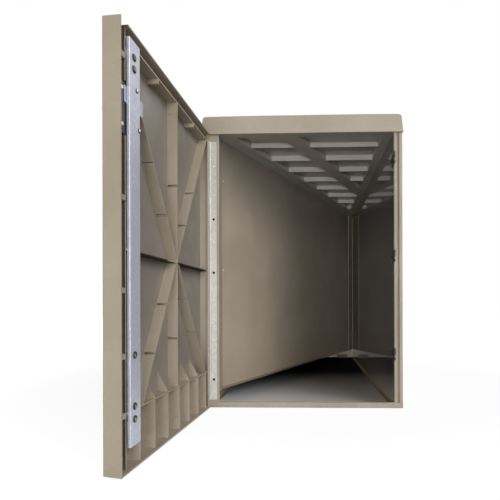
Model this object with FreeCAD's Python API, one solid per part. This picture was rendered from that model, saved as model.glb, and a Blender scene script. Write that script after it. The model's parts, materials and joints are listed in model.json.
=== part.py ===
import FreeCAD, Part
import math
import os

# Bicycle locker with a slanted partition and a door at each end, in millimetres.
# +X is right and +Y runs into the locker, seen from in front of the open front door. +Z is up.
# The origin is on the ground at the centre of the plan.
# Each end is drawn once, with Y measured inwards from its own front plane and its door shut.
# The rear end is the front end turned half round about the origin.

V = FreeCAD.Vector
X_AXIS = V(1, 0, 0)
Y_AXIS = V(0, 1, 0)
Z_AXIS = V(0, 0, 1)

# Body of the locker
BODY_WIDTH = 960.0
BODY_LENGTH = 2080.0
WALL_TOP = 1313.0
SILL_HEIGHT = 27.0
SILL_WALL = 8.0
SILL_ROUNDING = 2.0
END_DEPTH = 45.0
MOULDED_WALL = 5.0
LINER_WALL = 4.0
SEAT_GAP = 0.3

# Side wall: an outer and an inner moulding whose rounded noses leave a groove between them
OUTER_NOSE = 18.0
NOSE_GROOVE = 9.0
INNER_NOSE = 14.0
NOSE_RADIUS = 5.0
GROOVE_DEPTH = 12.0
STIFFENER_COUNT = 5
STIFFENER_WALL = 6.0
FOOT_FLANGE_WIDTH = 12.0
FOOT_FLANGE_WALL = 3.0
HINGE_POST_WIDTH = 55.0
HINGE_POST_DEPTH = 14.0

# Roof cover and ceiling
ROOF_OVERHANG = 2.5
HEADER_OVERHANG = 12.0
ROOF_EDGE_HEIGHT = 88.0
ROOF_CROWN = 8.0
ROOF_DRAFT = 7.0
ROOF_FRONT_RADIUS = 26.0
ROOF_SIDE_RADIUS = 14.0
ROOF_RIB_COUNT = 3
CEILING_EDGE_GAP = 3.0
CEILING_DEPTH = 33.0
CEILING_SKIN = 5.0
CEILING_BORDER = 87.0
CEILING_FIRST_RIB = 185.0
CEILING_RIB_PITCH = 214.0
CEILING_RIB_WALL = 7.0
CEILING_PARTITION_STRIP = 92.0
CEILING_BEAM_OFFSET = 318.0
CEILING_BEAM_WIDTH = 82.0

# Partition, whose plane passes through the centre of the plan
PARTITION_END_INSET = 9.0
PARTITION_WALL = 8.0
PARTITION_FOOT = 75.0
PARTITION_HEM_HEIGHT = 12.0
PARTITION_HEM_WALL = 3.0
PARTITION_CHEEK_WALL = 4.0
PARTITION_CHEEK_SETBACK = 1.0
PARTITION_ANGLE_LEG = 110.0
PARTITION_ANGLE_WALL = 3.0
PARTITION_SCREW_INSET = 86.0
PARTITION_SCREW_PITCH = 446.0

# Anchor angles behind the sills
ANCHOR_FOOT = 60.0
ANCHOR_STAND = 24.0
ANCHOR_WALL = 5.0
ANCHOR_LENGTH = 100.0
ANCHOR_HOLE_RADIUS = 7.0
ANCHOR_HOLE_FROM_SILL = 37.0
ANCHOR_FROM_SIDE = 140.0
ANCHOR_SCREW_PITCH = 64.0
ANCHOR_SCREW_LENGTH = 11.0

# Door shell
DOOR_OPEN_ANGLE = 93.5
DOOR_DEPTH = 56.0
DOOR_RIM_GAP = 1.0
DOOR_LEFT_OF_AXIS = 3.0
DOOR_FREE_INSET = 26.0
DOOR_BOTTOM = 5.0
DOOR_TOP_GAP = 2.0
HINGE_SIDE_DRAFT = 7.5
FREE_SIDE_DRAFT = 0.5
TOP_DRAFT = 1.0
FOOT_DRAFT = 5.0
DOOR_EDGE_RADIUS = 4.0
RIB_WALL = 5.0
RIB_SETBACK = 11.5
UPPER_RAIL_DROP = 29.0
MID_RAIL_TOP = 660.0
LEDGE_TOP = 178.0
LOCK_CHANNEL = 52.0
CENTRE_RIB_FROM_MIDDLE = 3.0
CROSSING_HEIGHT = 668.0
LONG_DIAGONAL_SLOPE = 1.36
STEEP_DIAGONAL_SLOPE = 1.57
FIN_FIRST = 48.0
LAST_FIN_TO_LOCK_RIB = 89.6
FIN_COUNT = 7
FIN_FOOT_HEIGHT = 51.0
FIN_FOOT_EXTRA = 3.0
GUSSET_HEIGHT = 72.0
TABS_FROM_CENTRE_RIB = (-196.0, 182.0)
TAB_HEIGHT = 17.0
CENTRE_TAB_HEIGHT = 44.0
TAB_EXTRA = 2.0
DRAIN_SLOT_HEIGHT = 8.0
DRAIN_SLOT_INSET = 1.5
LONG_DIAGONAL_SLOTS = (375.0, 518.0, 818.0, 971.0)
STEEP_DIAGONAL_SLOTS = (330.0, 497.0, 818.0, 975.0)
CENTRE_RIB_SLOTS = (365.0, 955.0)
SIDE_WALL_SLOTS = (341.0, 877.0)
LAND_WIDTH = 22.0

# Continuous hinge
HINGE_FROM_SIDE = 40.0
KNUCKLE_RADIUS = 4.0
KNUCKLE_COUNT = 20
KNUCKLE_END_GAP = 0.5
HINGE_FOOT = 38.0
HINGE_TOP_DROP = 35.0
PIN_RADIUS = 2.0
RUNNING_CLEARANCE = 0.05
LEAF_WALL = 1.6
LEAF_SEAT_GAP = 0.4
FRAME_LEAF_WIDTH = 30.0
DOOR_LEAF_WIDTH = 18.0
HINGE_SCREW_COUNT = 5
FIRST_HINGE_SCREW = 135.0
LAST_HINGE_SCREW_DROP = 115.0
HINGE_SCREW_LENGTH = 12.0
FRAME_SCREW_FROM_AXIS = 16.0
DOOR_SCREW_FROM_AXIS = 11.0

# Screws and rivets
SCREW_HEAD_RADIUS = 6.0
SCREW_HEAD_HEIGHT = 2.4
SCREW_RADIUS = 2.4
SCREW_CLEARANCE = 0.1

# Strap along the free edge of the door
STRAP_WIDTH = 69.0
STRAP_FROM_LOCK_RIB = 7.0
STRAP_BOTTOM = 73.0
STRAP_TOP_DROP = 26.0
STRAP_WALL = 3.0
STRAP_RECESS = 2.0
STRAP_FLANGE = 6.5
STRAP_CORNER_RADIUS = 2.5
BOLT_FROM_EDGE = 28.0
LOWER_BOLT_HEIGHTS = (152.0, 191.0, 344.0)
UPPER_BOLT_DROPS = (110.0, 75.0)
BOLT_HEAD_RADIUS = 11.0
BOLT_HEAD_HEIGHT = 6.5
BOLT_RADIUS = 5.0
BOLT_LENGTH = 34.0
BOSS_RADIUS = 12.0
RIVET_HEAD_RADIUS = 6.5
RIVET_HEAD_HEIGHT = 6.0
UPPER_RIVET = (46.0, 77.0)
LOWER_RIVET = (61.0, -39.0)

# Lock bar with its pins, guides and keepers
BAR_WALL = 4.0
BAR_DEPTH = 22.0
BAR_FROM_LOCK_RIB = 14.0
BAR_FROM_RIM = 18.0
BAR_BOTTOM = 118.0
BAR_TOP_DROP = 49.0
BAR_PIN_RADIUS = 4.0
BAR_PIN_HEAD_RADIUS = 6.0
BAR_PIN_HEAD_WALL = 3.5
LOWEST_BAR_PIN = 250.0
BAR_PIN_ABOVE_CASE = 30.0
BAR_PIN_INSET = 8.0
LOWER_GUIDE_HEIGHTS = (172.0, 344.0, 536.0, 805.0)
UPPER_GUIDE_ABOVE_CASE = 73.0
GUIDE_HEIGHT = 16.0
GUIDE_WALL = 4.0
GUIDE_FROM_RIM = 8.0
GUIDE_CLEARANCE = 0.5
KEEPER_WALL = 4.0
KEEPER_REACH = 50.0
KEEPER_LIP = 8.0
KEEPER_SLOT_CLEARANCE = 2.0
KEEPER_MARGIN = 10.0
KEEPER_HEAD_GAP = 1.0

# Lock, handle and key plug
HANDLE_DROP = 243.0
PINION_TEETH = 14
GEAR_MODULE = 2.0
GEAR_ADDENDUM = 0.8
GEAR_DEDENDUM = 1.0
GEAR_BACKLASH = 0.5
PRESSURE_ANGLE = 20.0
PINION_WIDTH = 12.0
RACK_BELOW = 36.0
RACK_ABOVE = 15.0
SPINDLE_RADIUS = 8.0
CASE_BELOW_HANDLE = 73.0
CASE_ABOVE_HANDLE = 77.0
CASE_WALL = 2.5
CASE_LEFT = 20.0
CASE_RIGHT = 7.0
CASE_FROM_RIM = 15.0
CASE_COVER_FROM_RIM = 11.0
CASE_COVER_FROM_LOCK_RIB = 12.0
CASE_COVER_INSET = 8.0
LOCK_PLATE_ABOVE_HANDLE = 20.0
LOCK_PLATE_HEIGHT = 50.0
LOCK_PLATE_WALL = 3.0
LOCK_PLATE_PAST_STRAP = 42.0
HANDLE_PLATE_RADIUS = 40.0
HANDLE_PLATE_WALL = 3.5
HANDLE_HUB_RADIUS = 13.0
HANDLE_HUB_HEIGHT = 5.0
HANDLE_GAP = 0.4
GRIP_LENGTH = 96.0
GRIP_WIDTH = 20.0
GRIP_WALL = 12.0
GRIP_RADIUS = 5.0
PLUG_RADIUS = 7.0
PLUG_LENGTH = 14.0
PLUG_PROUD = 1.0
KEYWAY_WIDTH = 2.0
KEYWAY_LENGTH = 8.0
KEYWAY_DEPTH = 9.0

# Places that follow from the sizes above
HALF_WIDTH = BODY_WIDTH / 2
WALL_DEPTH = OUTER_NOSE + NOSE_GROOVE + INNER_NOSE
INNER_FACE = HALF_WIDTH - WALL_DEPTH
GROOVE_OUTER = HALF_WIDTH - OUTER_NOSE
GROOVE_INNER = GROOVE_OUTER - NOSE_GROOVE
POST_INNER = -GROOVE_INNER + HINGE_POST_WIDTH
PARTITION_SLOPE = (INNER_FACE - PARTITION_END_INSET) / (BODY_LENGTH / 2 - HINGE_POST_DEPTH)
CHEEK_CROSSING = (INNER_FACE - PARTITION_END_INSET + POST_INNER) / PARTITION_SLOPE
PARTITION_CHEEK_LENGTH = CHEEK_CROSSING - PARTITION_ANGLE_WALL - SEAT_GAP - PARTITION_CHEEK_SETBACK
ANCHOR_FROM_CENTRE = HALF_WIDTH - ANCHOR_FROM_SIDE
HINGE_X = HINGE_FROM_SIDE - HALF_WIDTH
HINGE_Y = -(KNUCKLE_RADIUS + LEAF_SEAT_GAP)
HINGE_TOP = WALL_TOP - HINGE_TOP_DROP
KNUCKLE_PITCH = (HINGE_TOP - HINGE_FOOT) / KNUCKLE_COUNT
HINGE_SCREW_SPAN = HINGE_TOP - LAST_HINGE_SCREW_DROP - FIRST_HINGE_SCREW
HINGE_SCREW_PITCH = HINGE_SCREW_SPAN / (HINGE_SCREW_COUNT - 1)
LAND_Y = 2 * HINGE_Y
RIM_Y = -DOOR_RIM_GAP
SKIN_OUTER_Y = RIM_Y - DOOR_DEPTH
SKIN_INNER_Y = SKIN_OUTER_Y + MOULDED_WALL
RIB_FRONT_Y = RIM_Y - RIB_SETBACK
DOOR_X0 = HINGE_X - DOOR_LEFT_OF_AXIS
DOOR_X1 = HALF_WIDTH - DOOR_FREE_INSET
DOOR_WIDTH = DOOR_X1 - DOOR_X0
DOOR_TOP = WALL_TOP - DOOR_TOP_GAP
UPPER_RAIL = DOOR_TOP - UPPER_RAIL_DROP
LOCK_RIB_X = DOOR_X1 - LOCK_CHANNEL
LOCK_RIB = LOCK_RIB_X - HINGE_X
CENTRE_RIB = LOCK_RIB / 2 - CENTRE_RIB_FROM_MIDDLE
FIN_PITCH = (LOCK_RIB - FIN_FIRST - LAST_FIN_TO_LOCK_RIB) / (FIN_COUNT - 1)
STRAP_X1 = LOCK_RIB_X - STRAP_FROM_LOCK_RIB
STRAP_X0 = STRAP_X1 - STRAP_WIDTH
STRAP_TOP = DOOR_TOP - STRAP_TOP_DROP
STRAP_FRONT_Y = RIM_Y - STRAP_RECESS
STRAP_BACK_Y = STRAP_FRONT_Y - STRAP_WALL
BOLT_X = STRAP_X1 - BOLT_FROM_EDGE
BOLT_HEIGHTS = LOWER_BOLT_HEIGHTS + tuple(DOOR_TOP - drop for drop in UPPER_BOLT_DROPS)
HANDLE_HEIGHT = DOOR_TOP - HANDLE_DROP
CASE_BOTTOM = HANDLE_HEIGHT - CASE_BELOW_HANDLE
CASE_TOP = HANDLE_HEIGHT + CASE_ABOVE_HANDLE
LOCK_PLATE_BOTTOM = HANDLE_HEIGHT + LOCK_PLATE_ABOVE_HANDLE
LOCK_PLATE_TOP = LOCK_PLATE_BOTTOM + LOCK_PLATE_HEIGHT
BAR_TOP = DOOR_TOP - BAR_TOP_DROP
HIGHEST_BAR_PIN = CASE_TOP + BAR_PIN_ABOVE_CASE
BAR_PIN_HEIGHTS = (LOWEST_BAR_PIN, (LOWEST_BAR_PIN + HIGHEST_BAR_PIN) / 2, HIGHEST_BAR_PIN)
GUIDE_HEIGHTS = LOWER_GUIDE_HEIGHTS + (CASE_TOP + UPPER_GUIDE_ABOVE_CASE,)
BAR_X0 = LOCK_RIB_X + RIB_WALL + BAR_FROM_LOCK_RIB
BAR_X1 = BAR_X0 + BAR_WALL
BAR_Y1 = RIM_Y - BAR_FROM_RIM
BAR_Y0 = BAR_Y1 - BAR_DEPTH
BAR_PIN_Y = BAR_Y1 - BAR_PIN_INSET
PITCH_RADIUS = GEAR_MODULE * PINION_TEETH / 2
TOOTH_PITCH = math.pi * GEAR_MODULE
RACK_PITCH_X = BAR_X0 - 2 * GEAR_MODULE
SPINDLE_X = RACK_PITCH_X - PITCH_RADIUS
BAR_TRAVEL = PITCH_RADIUS * math.pi / 2
PINION_Y = (BAR_Y0 + BAR_Y1) / 2
KEEPER_FRONT_Y = BAR_PIN_Y - BAR_PIN_RADIUS - KEEPER_SLOT_CLEARANCE - KEEPER_LIP
CASE_X0 = SPINDLE_X - CASE_LEFT
CASE_X1 = BAR_X1 + CASE_RIGHT
CASE_FRONT_Y = RIM_Y - CASE_FROM_RIM
GRIP_BACK_Y = SKIN_OUTER_Y - HANDLE_PLATE_WALL - HANDLE_GAP - HANDLE_HUB_HEIGHT
GRIP_FRONT_Y = GRIP_BACK_Y - GRIP_WALL


def box(x, y, z):
    """A box between two bounds on each axis, each given as a pair."""
    size = (x[1] - x[0], y[1] - y[0], z[1] - z[0])
    return Part.makeBox(*size, V(x[0], y[0], z[0]))


def rod(start, axis, radius, length):
    """A round bar from a point along an axis."""
    return Part.makeCylinder(radius, length, start, axis)


def prism(points, depth):
    """A straight prism on a closed outline of points, drawn out by a vector."""
    return Part.Face(Part.makePolygon(points + [points[0]])).extrude(depth)


def fuse(shapes):
    """Several touching solids as one, with the seams between flat faces removed."""
    joined = shapes[0]
    if len(shapes) > 1:
        joined = joined.fuse(shapes[1:])
    return joined.removeSplitter()


def round_edges(shape, radius, wanted):
    """Round the edges that the test named wanted accepts."""
    return shape.makeFillet(radius, [edge for edge in shape.Edges if wanted(edge)])


def upright(edge):
    """True for an edge that runs along Z."""
    return abs(edge.Vertexes[0].Z - edge.Vertexes[-1].Z) > edge.Length * 0.99


def save(name, shape):
    """Write one sub-part."""
    shape.exportStep("parts/" + name + ".step")


def at_front(shape):
    """Put a fixed piece of the front end in its place."""
    return shape.translated(V(0, -BODY_LENGTH / 2, 0))


def at_rear(shape):
    """Put the same piece at the rear end, which is the front end turned half round."""
    return at_front(shape).rotated(V(0, 0, 0), Z_AXIS, 180)


def on_open_door(shape):
    """Swing a piece of the front door out with it, and put it in its place."""
    return at_front(shape.rotated(V(HINGE_X, HINGE_Y, 0), Z_AXIS, -DOOR_OPEN_ANGLE))


def dome(centre, axis, radius, height):
    """A shallow round head, flat side at centre, rising along axis."""
    sphere_radius = (radius ** 2 + height ** 2) / (2 * height)
    ball = Part.makeSphere(sphere_radius, centre - axis * (sphere_radius - height))
    return ball.common(rod(centre, axis, radius + 1, height + 1))


def screw(seat, axis, length, head_radius=SCREW_HEAD_RADIUS, radius=SCREW_RADIUS):
    """A domed screw: seat is the centre of the face under its head, axis points out of the head."""
    head = dome(seat, axis, head_radius, SCREW_HEAD_HEIGHT)
    return fuse([head, rod(seat, axis * -1, radius, length)])


def screw_hole(seat, axis, length, radius=SCREW_RADIUS):
    """The hole that a screw passes through, with its clearance."""
    start = seat + axis * SCREW_HEAD_HEIGHT
    return rod(start, axis * -1, radius + SCREW_CLEARANCE, length + SCREW_HEAD_HEIGHT + SEAT_GAP)


# Foot

def sill():
    """Upright strip along the foot of an end, in front of the walls and the hinge post."""
    strip = box((-HALF_WIDTH, HALF_WIDTH), (0, SILL_WALL), (0, SILL_HEIGHT))
    strip = round_edges(strip, SILL_ROUNDING, lambda e: e.Length > BODY_WIDTH - 1
                        and e.CenterOfMass.z > SILL_HEIGHT - 1 and e.CenterOfMass.y < 1)
    return strip.cut(Part.makeCompound([anchor_screw_hole(seat) for seat in anchor_screw_seats()]))


def over_sills(shape):
    """Cut the room of the two sills out of a piece that stands on the ground."""
    reach = (-HALF_WIDTH - 1, HALF_WIDTH + 1)
    front = box(reach, (-1, SILL_WALL), (-1, SILL_HEIGHT))
    rear = box(reach, (BODY_LENGTH - SILL_WALL, BODY_LENGTH + 1), (-1, SILL_HEIGHT))
    return shape.cut(front.fuse(rear))


# Side walls

def nose(x, wall, ends):
    """Rounded hollow nose of a side moulding: ends are the Y of its round end and its open end."""
    y = (min(ends), max(ends))
    body = box(x, y, (0, WALL_TOP))
    body = round_edges(body, NOSE_RADIUS, lambda e: upright(e) and abs(e.Vertexes[0].Y - ends[0]) < 1)
    inward = 1 if ends[1] > ends[0] else -1
    hollow_y = sorted((ends[0] + inward * wall, ends[1] + inward))
    return body.cut(box((x[0] + wall, x[1] - wall), hollow_y, (-1, WALL_TOP + 1)))


def outer_panel():
    """Outer moulding of the right side wall, with upright stiffeners that carry the inner one."""
    z = (0, WALL_TOP)
    x = (GROOVE_OUTER, HALF_WIDTH)
    pieces = [nose(x, MOULDED_WALL, (0, END_DEPTH))]
    pieces.append(nose(x, MOULDED_WALL, (BODY_LENGTH, BODY_LENGTH - END_DEPTH)))
    pieces.append(box((HALF_WIDTH - MOULDED_WALL, HALF_WIDTH), (END_DEPTH, BODY_LENGTH - END_DEPTH), z))
    web_x = (GROOVE_INNER, GROOVE_OUTER)
    web_y = (GROOVE_DEPTH, GROOVE_DEPTH + MOULDED_WALL)
    pieces.append(box(web_x, web_y, z))
    pieces.append(box(web_x, (BODY_LENGTH - web_y[1], BODY_LENGTH - web_y[0]), z))
    bay = (BODY_LENGTH - 2 * END_DEPTH) / (STIFFENER_COUNT + 1)
    stiffener_x = (INNER_FACE + LINER_WALL, HALF_WIDTH - MOULDED_WALL)
    for index in range(STIFFENER_COUNT):
        y = END_DEPTH + bay * (index + 1)
        pieces.append(box(stiffener_x, (y - STIFFENER_WALL / 2, y + STIFFENER_WALL / 2), z))
    return over_sills(fuse(pieces))


def inner_panel():
    """Inner moulding of the right side wall: a flat sheet on a foot flange, with a rounded nose."""
    front = nose((INNER_FACE, GROOVE_INNER), LINER_WALL, (0, END_DEPTH))
    sheet_x = (INNER_FACE, INNER_FACE + LINER_WALL)
    sheet = box(sheet_x, (END_DEPTH, BODY_LENGTH - MOULDED_WALL), (0, WALL_TOP))
    flange_x = (INNER_FACE - FOOT_FLANGE_WIDTH, INNER_FACE + 1)
    flange = box(flange_x, (SILL_WALL, BODY_LENGTH - HINGE_POST_DEPTH), (0, FOOT_FLANGE_WALL))
    panel = over_sills(fuse([front, sheet, flange]))
    for seat in keeper_screw_seats():
        panel = panel.cut(screw_hole(seat, X_AXIS * -1, KEEPER_WALL + LINER_WALL))
    return panel


def hinge_post():
    """Post that carries the hinge, at the left of the front end: a channel that is open behind."""
    x = (-GROOVE_INNER, POST_INNER)
    post = box(x, (0, HINGE_POST_DEPTH), (0, WALL_TOP))
    post = round_edges(post, NOSE_RADIUS, lambda e: upright(e) and abs(e.Vertexes[0].Y) < 1)
    inner_x = (x[0] + MOULDED_WALL, x[1] - MOULDED_WALL)
    post = post.cut(box(inner_x, (MOULDED_WALL, HINGE_POST_DEPTH + 1), (-1, WALL_TOP + 1)))
    for seat in frame_screw_seats():
        post = post.cut(screw_hole(seat, Y_AXIS * -1, HINGE_SCREW_LENGTH))
    return over_sills(post)


# Roof

def roof_section(half, rise, inset):
    """Cross section of the roof cover, an inset smaller all round: a crowned top on drafted sides."""
    foot = half + ROOF_OVERHANG - inset
    shoulder = foot - ROOF_DRAFT
    top = WALL_TOP + ROOF_EDGE_HEIGHT - inset
    radius = rise
    corner = (1 - math.sqrt(0.5)) * radius
    right = [V(foot, 0, WALL_TOP), V(shoulder, 0, top - radius), V(shoulder - radius, 0, top)]
    left = [V(-point.x, 0, point.z) for point in right]
    edges = [Part.makePolygon([left[1], left[0], right[0], right[1]])]
    edges.append(Part.Arc(right[1], V(shoulder - corner, 0, top - corner), right[2]).toShape())
    edges.append(Part.Arc(right[2], V(0, 0, top + ROOF_CROWN), left[2]).toShape())
    edges.append(Part.Arc(left[2], V(corner - shoulder, 0, top - corner), left[1]).toShape())
    wire = Part.Wire(Part.__sortEdges__([edge for part in edges for edge in part.Edges]))
    start = -HEADER_OVERHANG - 1
    return Part.Face(wire).extrude(V(0, BODY_LENGTH - 2 * start, 0)).translated(V(0, start, 0))


def roof_side_view(inset):
    """The roof cover seen from the side, an inset smaller all round: a long bar with round shoulders."""
    foot = BODY_LENGTH / 2 + HEADER_OVERHANG - inset
    shoulder = foot - ROOF_DRAFT
    top = WALL_TOP + ROOF_EDGE_HEIGHT + ROOF_CROWN - inset
    radius = ROOF_FRONT_RADIUS - inset
    corner = (1 - math.sqrt(0.5)) * radius
    edges = Part.makePolygon([V(0, -shoulder, top - radius), V(0, -foot, WALL_TOP), V(0, foot, WALL_TOP),
                              V(0, shoulder, top - radius)]).Edges
    rear_arc = Part.Arc(V(0, shoulder, top - radius), V(0, shoulder - corner, top - corner),
                        V(0, shoulder - radius, top))
    front_arc = Part.Arc(V(0, radius - shoulder, top), V(0, corner - shoulder, top - corner),
                         V(0, -shoulder, top - radius))
    ridge = Part.makeLine(V(0, shoulder - radius, top), V(0, radius - shoulder, top))
    wire = Part.Wire(Part.__sortEdges__(edges + [rear_arc.toShape(), ridge, front_arc.toShape()]))
    reach = HALF_WIDTH + ROOF_OVERHANG + 1
    return Part.Face(wire).extrude(V(2 * reach, 0, 0)).translated(V(-reach, BODY_LENGTH / 2, 0))


def roof_cover():
    """Crowned roof cover with deep edges, a lip under each header and ribs that rest on the ceiling."""
    outer = roof_section(HALF_WIDTH, ROOF_SIDE_RADIUS, 0).common(roof_side_view(0))
    core = roof_section(HALF_WIDTH, ROOF_SIDE_RADIUS - MOULDED_WALL, MOULDED_WALL)
    core = core.common(roof_side_view(MOULDED_WALL))
    hollow = core.fuse(core.translated(V(0, 0, -1)))
    cover = outer.cut(hollow)
    reach = HALF_WIDTH - ROOF_DRAFT
    ribs = []
    for index in range(ROOF_RIB_COUNT):
        x = (index - (ROOF_RIB_COUNT - 1) / 2) * reach / ROOF_RIB_COUNT * 2
        z = (WALL_TOP + CEILING_DEPTH, WALL_TOP + ROOF_EDGE_HEIGHT + ROOF_CROWN)
        ribs.append(box((x - MOULDED_WALL / 2, x + MOULDED_WALL / 2), (0, BODY_LENGTH), z).common(outer))
    lip_x = (-HALF_WIDTH, HALF_WIDTH)
    lip_z = (WALL_TOP, WALL_TOP + MOULDED_WALL)
    ends = (-HEADER_OVERHANG + MOULDED_WALL / 2, -SEAT_GAP)
    ribs.append(box(lip_x, ends, lip_z))
    ribs.append(box(lip_x, (BODY_LENGTH - ends[1], BODY_LENGTH - ends[0]), lip_z))
    return fuse([cover] + ribs)


def partition_x(y):
    """X of the middle of the partition at a distance y behind the front plane."""
    return PARTITION_SLOPE * (y - BODY_LENGTH / 2)


def slanted_strip(low, high):
    """Prism between two offsets in X from the partition, over the depth of the ceiling pockets."""
    ends = (END_DEPTH, BODY_LENGTH - END_DEPTH)
    outline = [V(partition_x(ends[0]) + low, ends[0], 0), V(partition_x(ends[0]) + high, ends[0], 0),
               V(partition_x(ends[1]) + high, ends[1], 0), V(partition_x(ends[1]) + low, ends[1], 0)]
    return prism(outline, V(0, 0, CEILING_DEPTH - CEILING_SKIN)).translated(V(0, 0, WALL_TOP))


def ceiling_panel():
    """Ribbed ceiling: pockets between cross ribs, with flat strips over the partition and beside it."""
    half = HALF_WIDTH - ROOF_DRAFT + ROOF_OVERHANG - MOULDED_WALL - CEILING_EDGE_GAP
    slab = box((-half, half), (0, BODY_LENGTH), (WALL_TOP, WALL_TOP + CEILING_DEPTH))
    field = HALF_WIDTH - CEILING_BORDER
    far = BODY_LENGTH
    beam_end = CEILING_BEAM_OFFSET + CEILING_BEAM_WIDTH
    strips = [slanted_strip(CEILING_PARTITION_STRIP, CEILING_BEAM_OFFSET), slanted_strip(beam_end, far),
              slanted_strip(-CEILING_BEAM_OFFSET, -CEILING_PARTITION_STRIP), slanted_strip(-far, -beam_end)]
    pockets = Part.makeCompound(strips)
    pocket_z = (WALL_TOP - 1, WALL_TOP + CEILING_DEPTH)
    pockets = pockets.common(box((-field, field), (0, BODY_LENGTH), pocket_z))
    first = CEILING_FIRST_RIB
    count = int(round((BODY_LENGTH - 2 * first) / CEILING_RIB_PITCH)) + 1
    pitch = (BODY_LENGTH - 2 * first - CEILING_RIB_WALL) / (count - 1)
    ribs = []
    for index in range(count):
        y = first + index * pitch
        ribs.append(box((-HALF_WIDTH, HALF_WIDTH), (y, y + CEILING_RIB_WALL), pocket_z))
    return slab.cut(pockets.cut(Part.makeCompound(ribs)))


# Partition

def along_partition(shape):
    """Turn a piece drawn along Y through the origin so that it lies along the partition."""
    turned = shape.rotated(V(0, 0, 0), Z_AXIS, -math.degrees(math.atan(PARTITION_SLOPE)))
    return turned.translated(V(0, BODY_LENGTH / 2, 0))


def partition_reach():
    """Half the length of the partition, up to the planes behind the two hinge posts."""
    return (BODY_LENGTH / 2 - HINGE_POST_DEPTH) * math.sqrt(1 + PARTITION_SLOPE ** 2)


def partition_screw_points():
    """Places of the screws at the front edge, in the partition's own plane: along it, and height."""
    along = -partition_reach() + PARTITION_SCREW_INSET
    middle = (PARTITION_FOOT + WALL_TOP) / 2 - SILL_HEIGHT
    return [(along, middle + step * PARTITION_SCREW_PITCH) for step in (-1, 0, 1)]


def partition_panel():
    """Slanted panel with a hem along its foot, and a cheek at each end that meets the hinge post."""
    half = PARTITION_WALL / 2
    hem = half + PARTITION_HEM_WALL
    reach = partition_reach() + END_DEPTH
    top = WALL_TOP - SEAT_GAP
    hem_z = (PARTITION_FOOT, PARTITION_FOOT + PARTITION_HEM_HEIGHT)
    panel = fuse([box((-half, half), (-reach, reach), (PARTITION_FOOT, top)),
                  box((-hem, hem), (-reach, reach), hem_z)])
    for along, height in partition_screw_points():
        for end in (1, -1):
            seat = V(end * half, end * along, height)
            panel = panel.cut(screw_hole(seat, X_AXIS * end, PARTITION_WALL + PARTITION_ANGLE_WALL))
    panel = along_partition(panel)
    foot_y = HINGE_POST_DEPTH + PARTITION_ANGLE_WALL + SEAT_GAP
    clear_x = (-INNER_FACE + SEAT_GAP, INNER_FACE - SEAT_GAP)
    panel = panel.common(box(clear_x, (foot_y, BODY_LENGTH - foot_y), (0, WALL_TOP)))
    cheek_x = (POST_INNER - PARTITION_CHEEK_WALL, POST_INNER)
    cheek_y = (foot_y, foot_y + PARTITION_CHEEK_LENGTH)
    cheek = box(cheek_x, cheek_y, (PARTITION_FOOT, top))
    middle = V(0, BODY_LENGTH / 2, 0)
    return fuse([panel, cheek, cheek.rotated(middle, Z_AXIS, 180)])


def partition_angle():
    """Angle that fixes the partition to the back of the front hinge post, on the far side."""
    half = PARTITION_WALL / 2
    z = (PARTITION_FOOT + PARTITION_HEM_HEIGHT + SEAT_GAP, WALL_TOP - SEAT_GAP)
    start = -partition_reach() - END_DEPTH
    leg = box((-half - PARTITION_ANGLE_WALL, -half), (start, -partition_reach() + PARTITION_ANGLE_LEG), z)
    for along, height in partition_screw_points():
        seat = V(half, along, height)
        leg = leg.cut(screw_hole(seat, X_AXIS, PARTITION_WALL + PARTITION_ANGLE_WALL))
    leg = along_partition(leg)
    foot_y = (HINGE_POST_DEPTH, HINGE_POST_DEPTH + PARTITION_ANGLE_WALL)
    leg = leg.common(box((-INNER_FACE + SEAT_GAP, 0), (foot_y[0], BODY_LENGTH), (0, WALL_TOP)))
    foot = box((-INNER_FACE + SEAT_GAP, POST_INNER), foot_y, z)
    return fuse([leg, foot])


def partition_screws():
    """Screws through the partition into its angle."""
    half = PARTITION_WALL / 2
    length = PARTITION_WALL + PARTITION_ANGLE_WALL
    made = [screw(V(half, along, height), X_AXIS, length) for along, height in partition_screw_points()]
    return along_partition(Part.makeCompound(made))


# Anchors

def anchor_screw_seats():
    """Seats of the screws that hold the anchor angles to the sill."""
    height = (ANCHOR_WALL + ANCHOR_STAND) / 2
    seats = []
    for middle in (-ANCHOR_FROM_CENTRE, ANCHOR_FROM_CENTRE):
        for side in (-1, 1):
            seats.append(V(middle + side * ANCHOR_SCREW_PITCH / 2, SILL_WALL + ANCHOR_WALL, height))
    return seats


def anchor_screw_hole(seat):
    """Hole for one of these screws, through the angle and blind in the sill."""
    return screw_hole(seat, Y_AXIS, ANCHOR_SCREW_LENGTH)


def anchor_bracket(middle):
    """Steel angle behind the sill, with a hole in its foot for an anchor bolt."""
    x = (middle - ANCHOR_LENGTH / 2, middle + ANCHOR_LENGTH / 2)
    foot = box(x, (SILL_WALL, SILL_WALL + ANCHOR_FOOT), (0, ANCHOR_WALL))
    stand = box(x, (SILL_WALL, SILL_WALL + ANCHOR_WALL), (0, ANCHOR_STAND))
    angle = fuse([foot, stand])
    hole = V(middle, SILL_WALL + ANCHOR_HOLE_FROM_SILL, -1)
    cuts = [rod(hole, Z_AXIS, ANCHOR_HOLE_RADIUS, ANCHOR_WALL + 2)]
    cuts += [anchor_screw_hole(seat) for seat in anchor_screw_seats()]
    return angle.cut(Part.makeCompound(cuts))


# Hinge

def frame_screw_seats():
    """Seats of the screws in the frame leaf of the front hinge."""
    x = HINGE_X + FRAME_SCREW_FROM_AXIS
    heights = [FIRST_HINGE_SCREW + HINGE_SCREW_PITCH * index for index in range(HINGE_SCREW_COUNT)]
    return [V(x, -LEAF_WALL, height) for height in heights]


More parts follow.
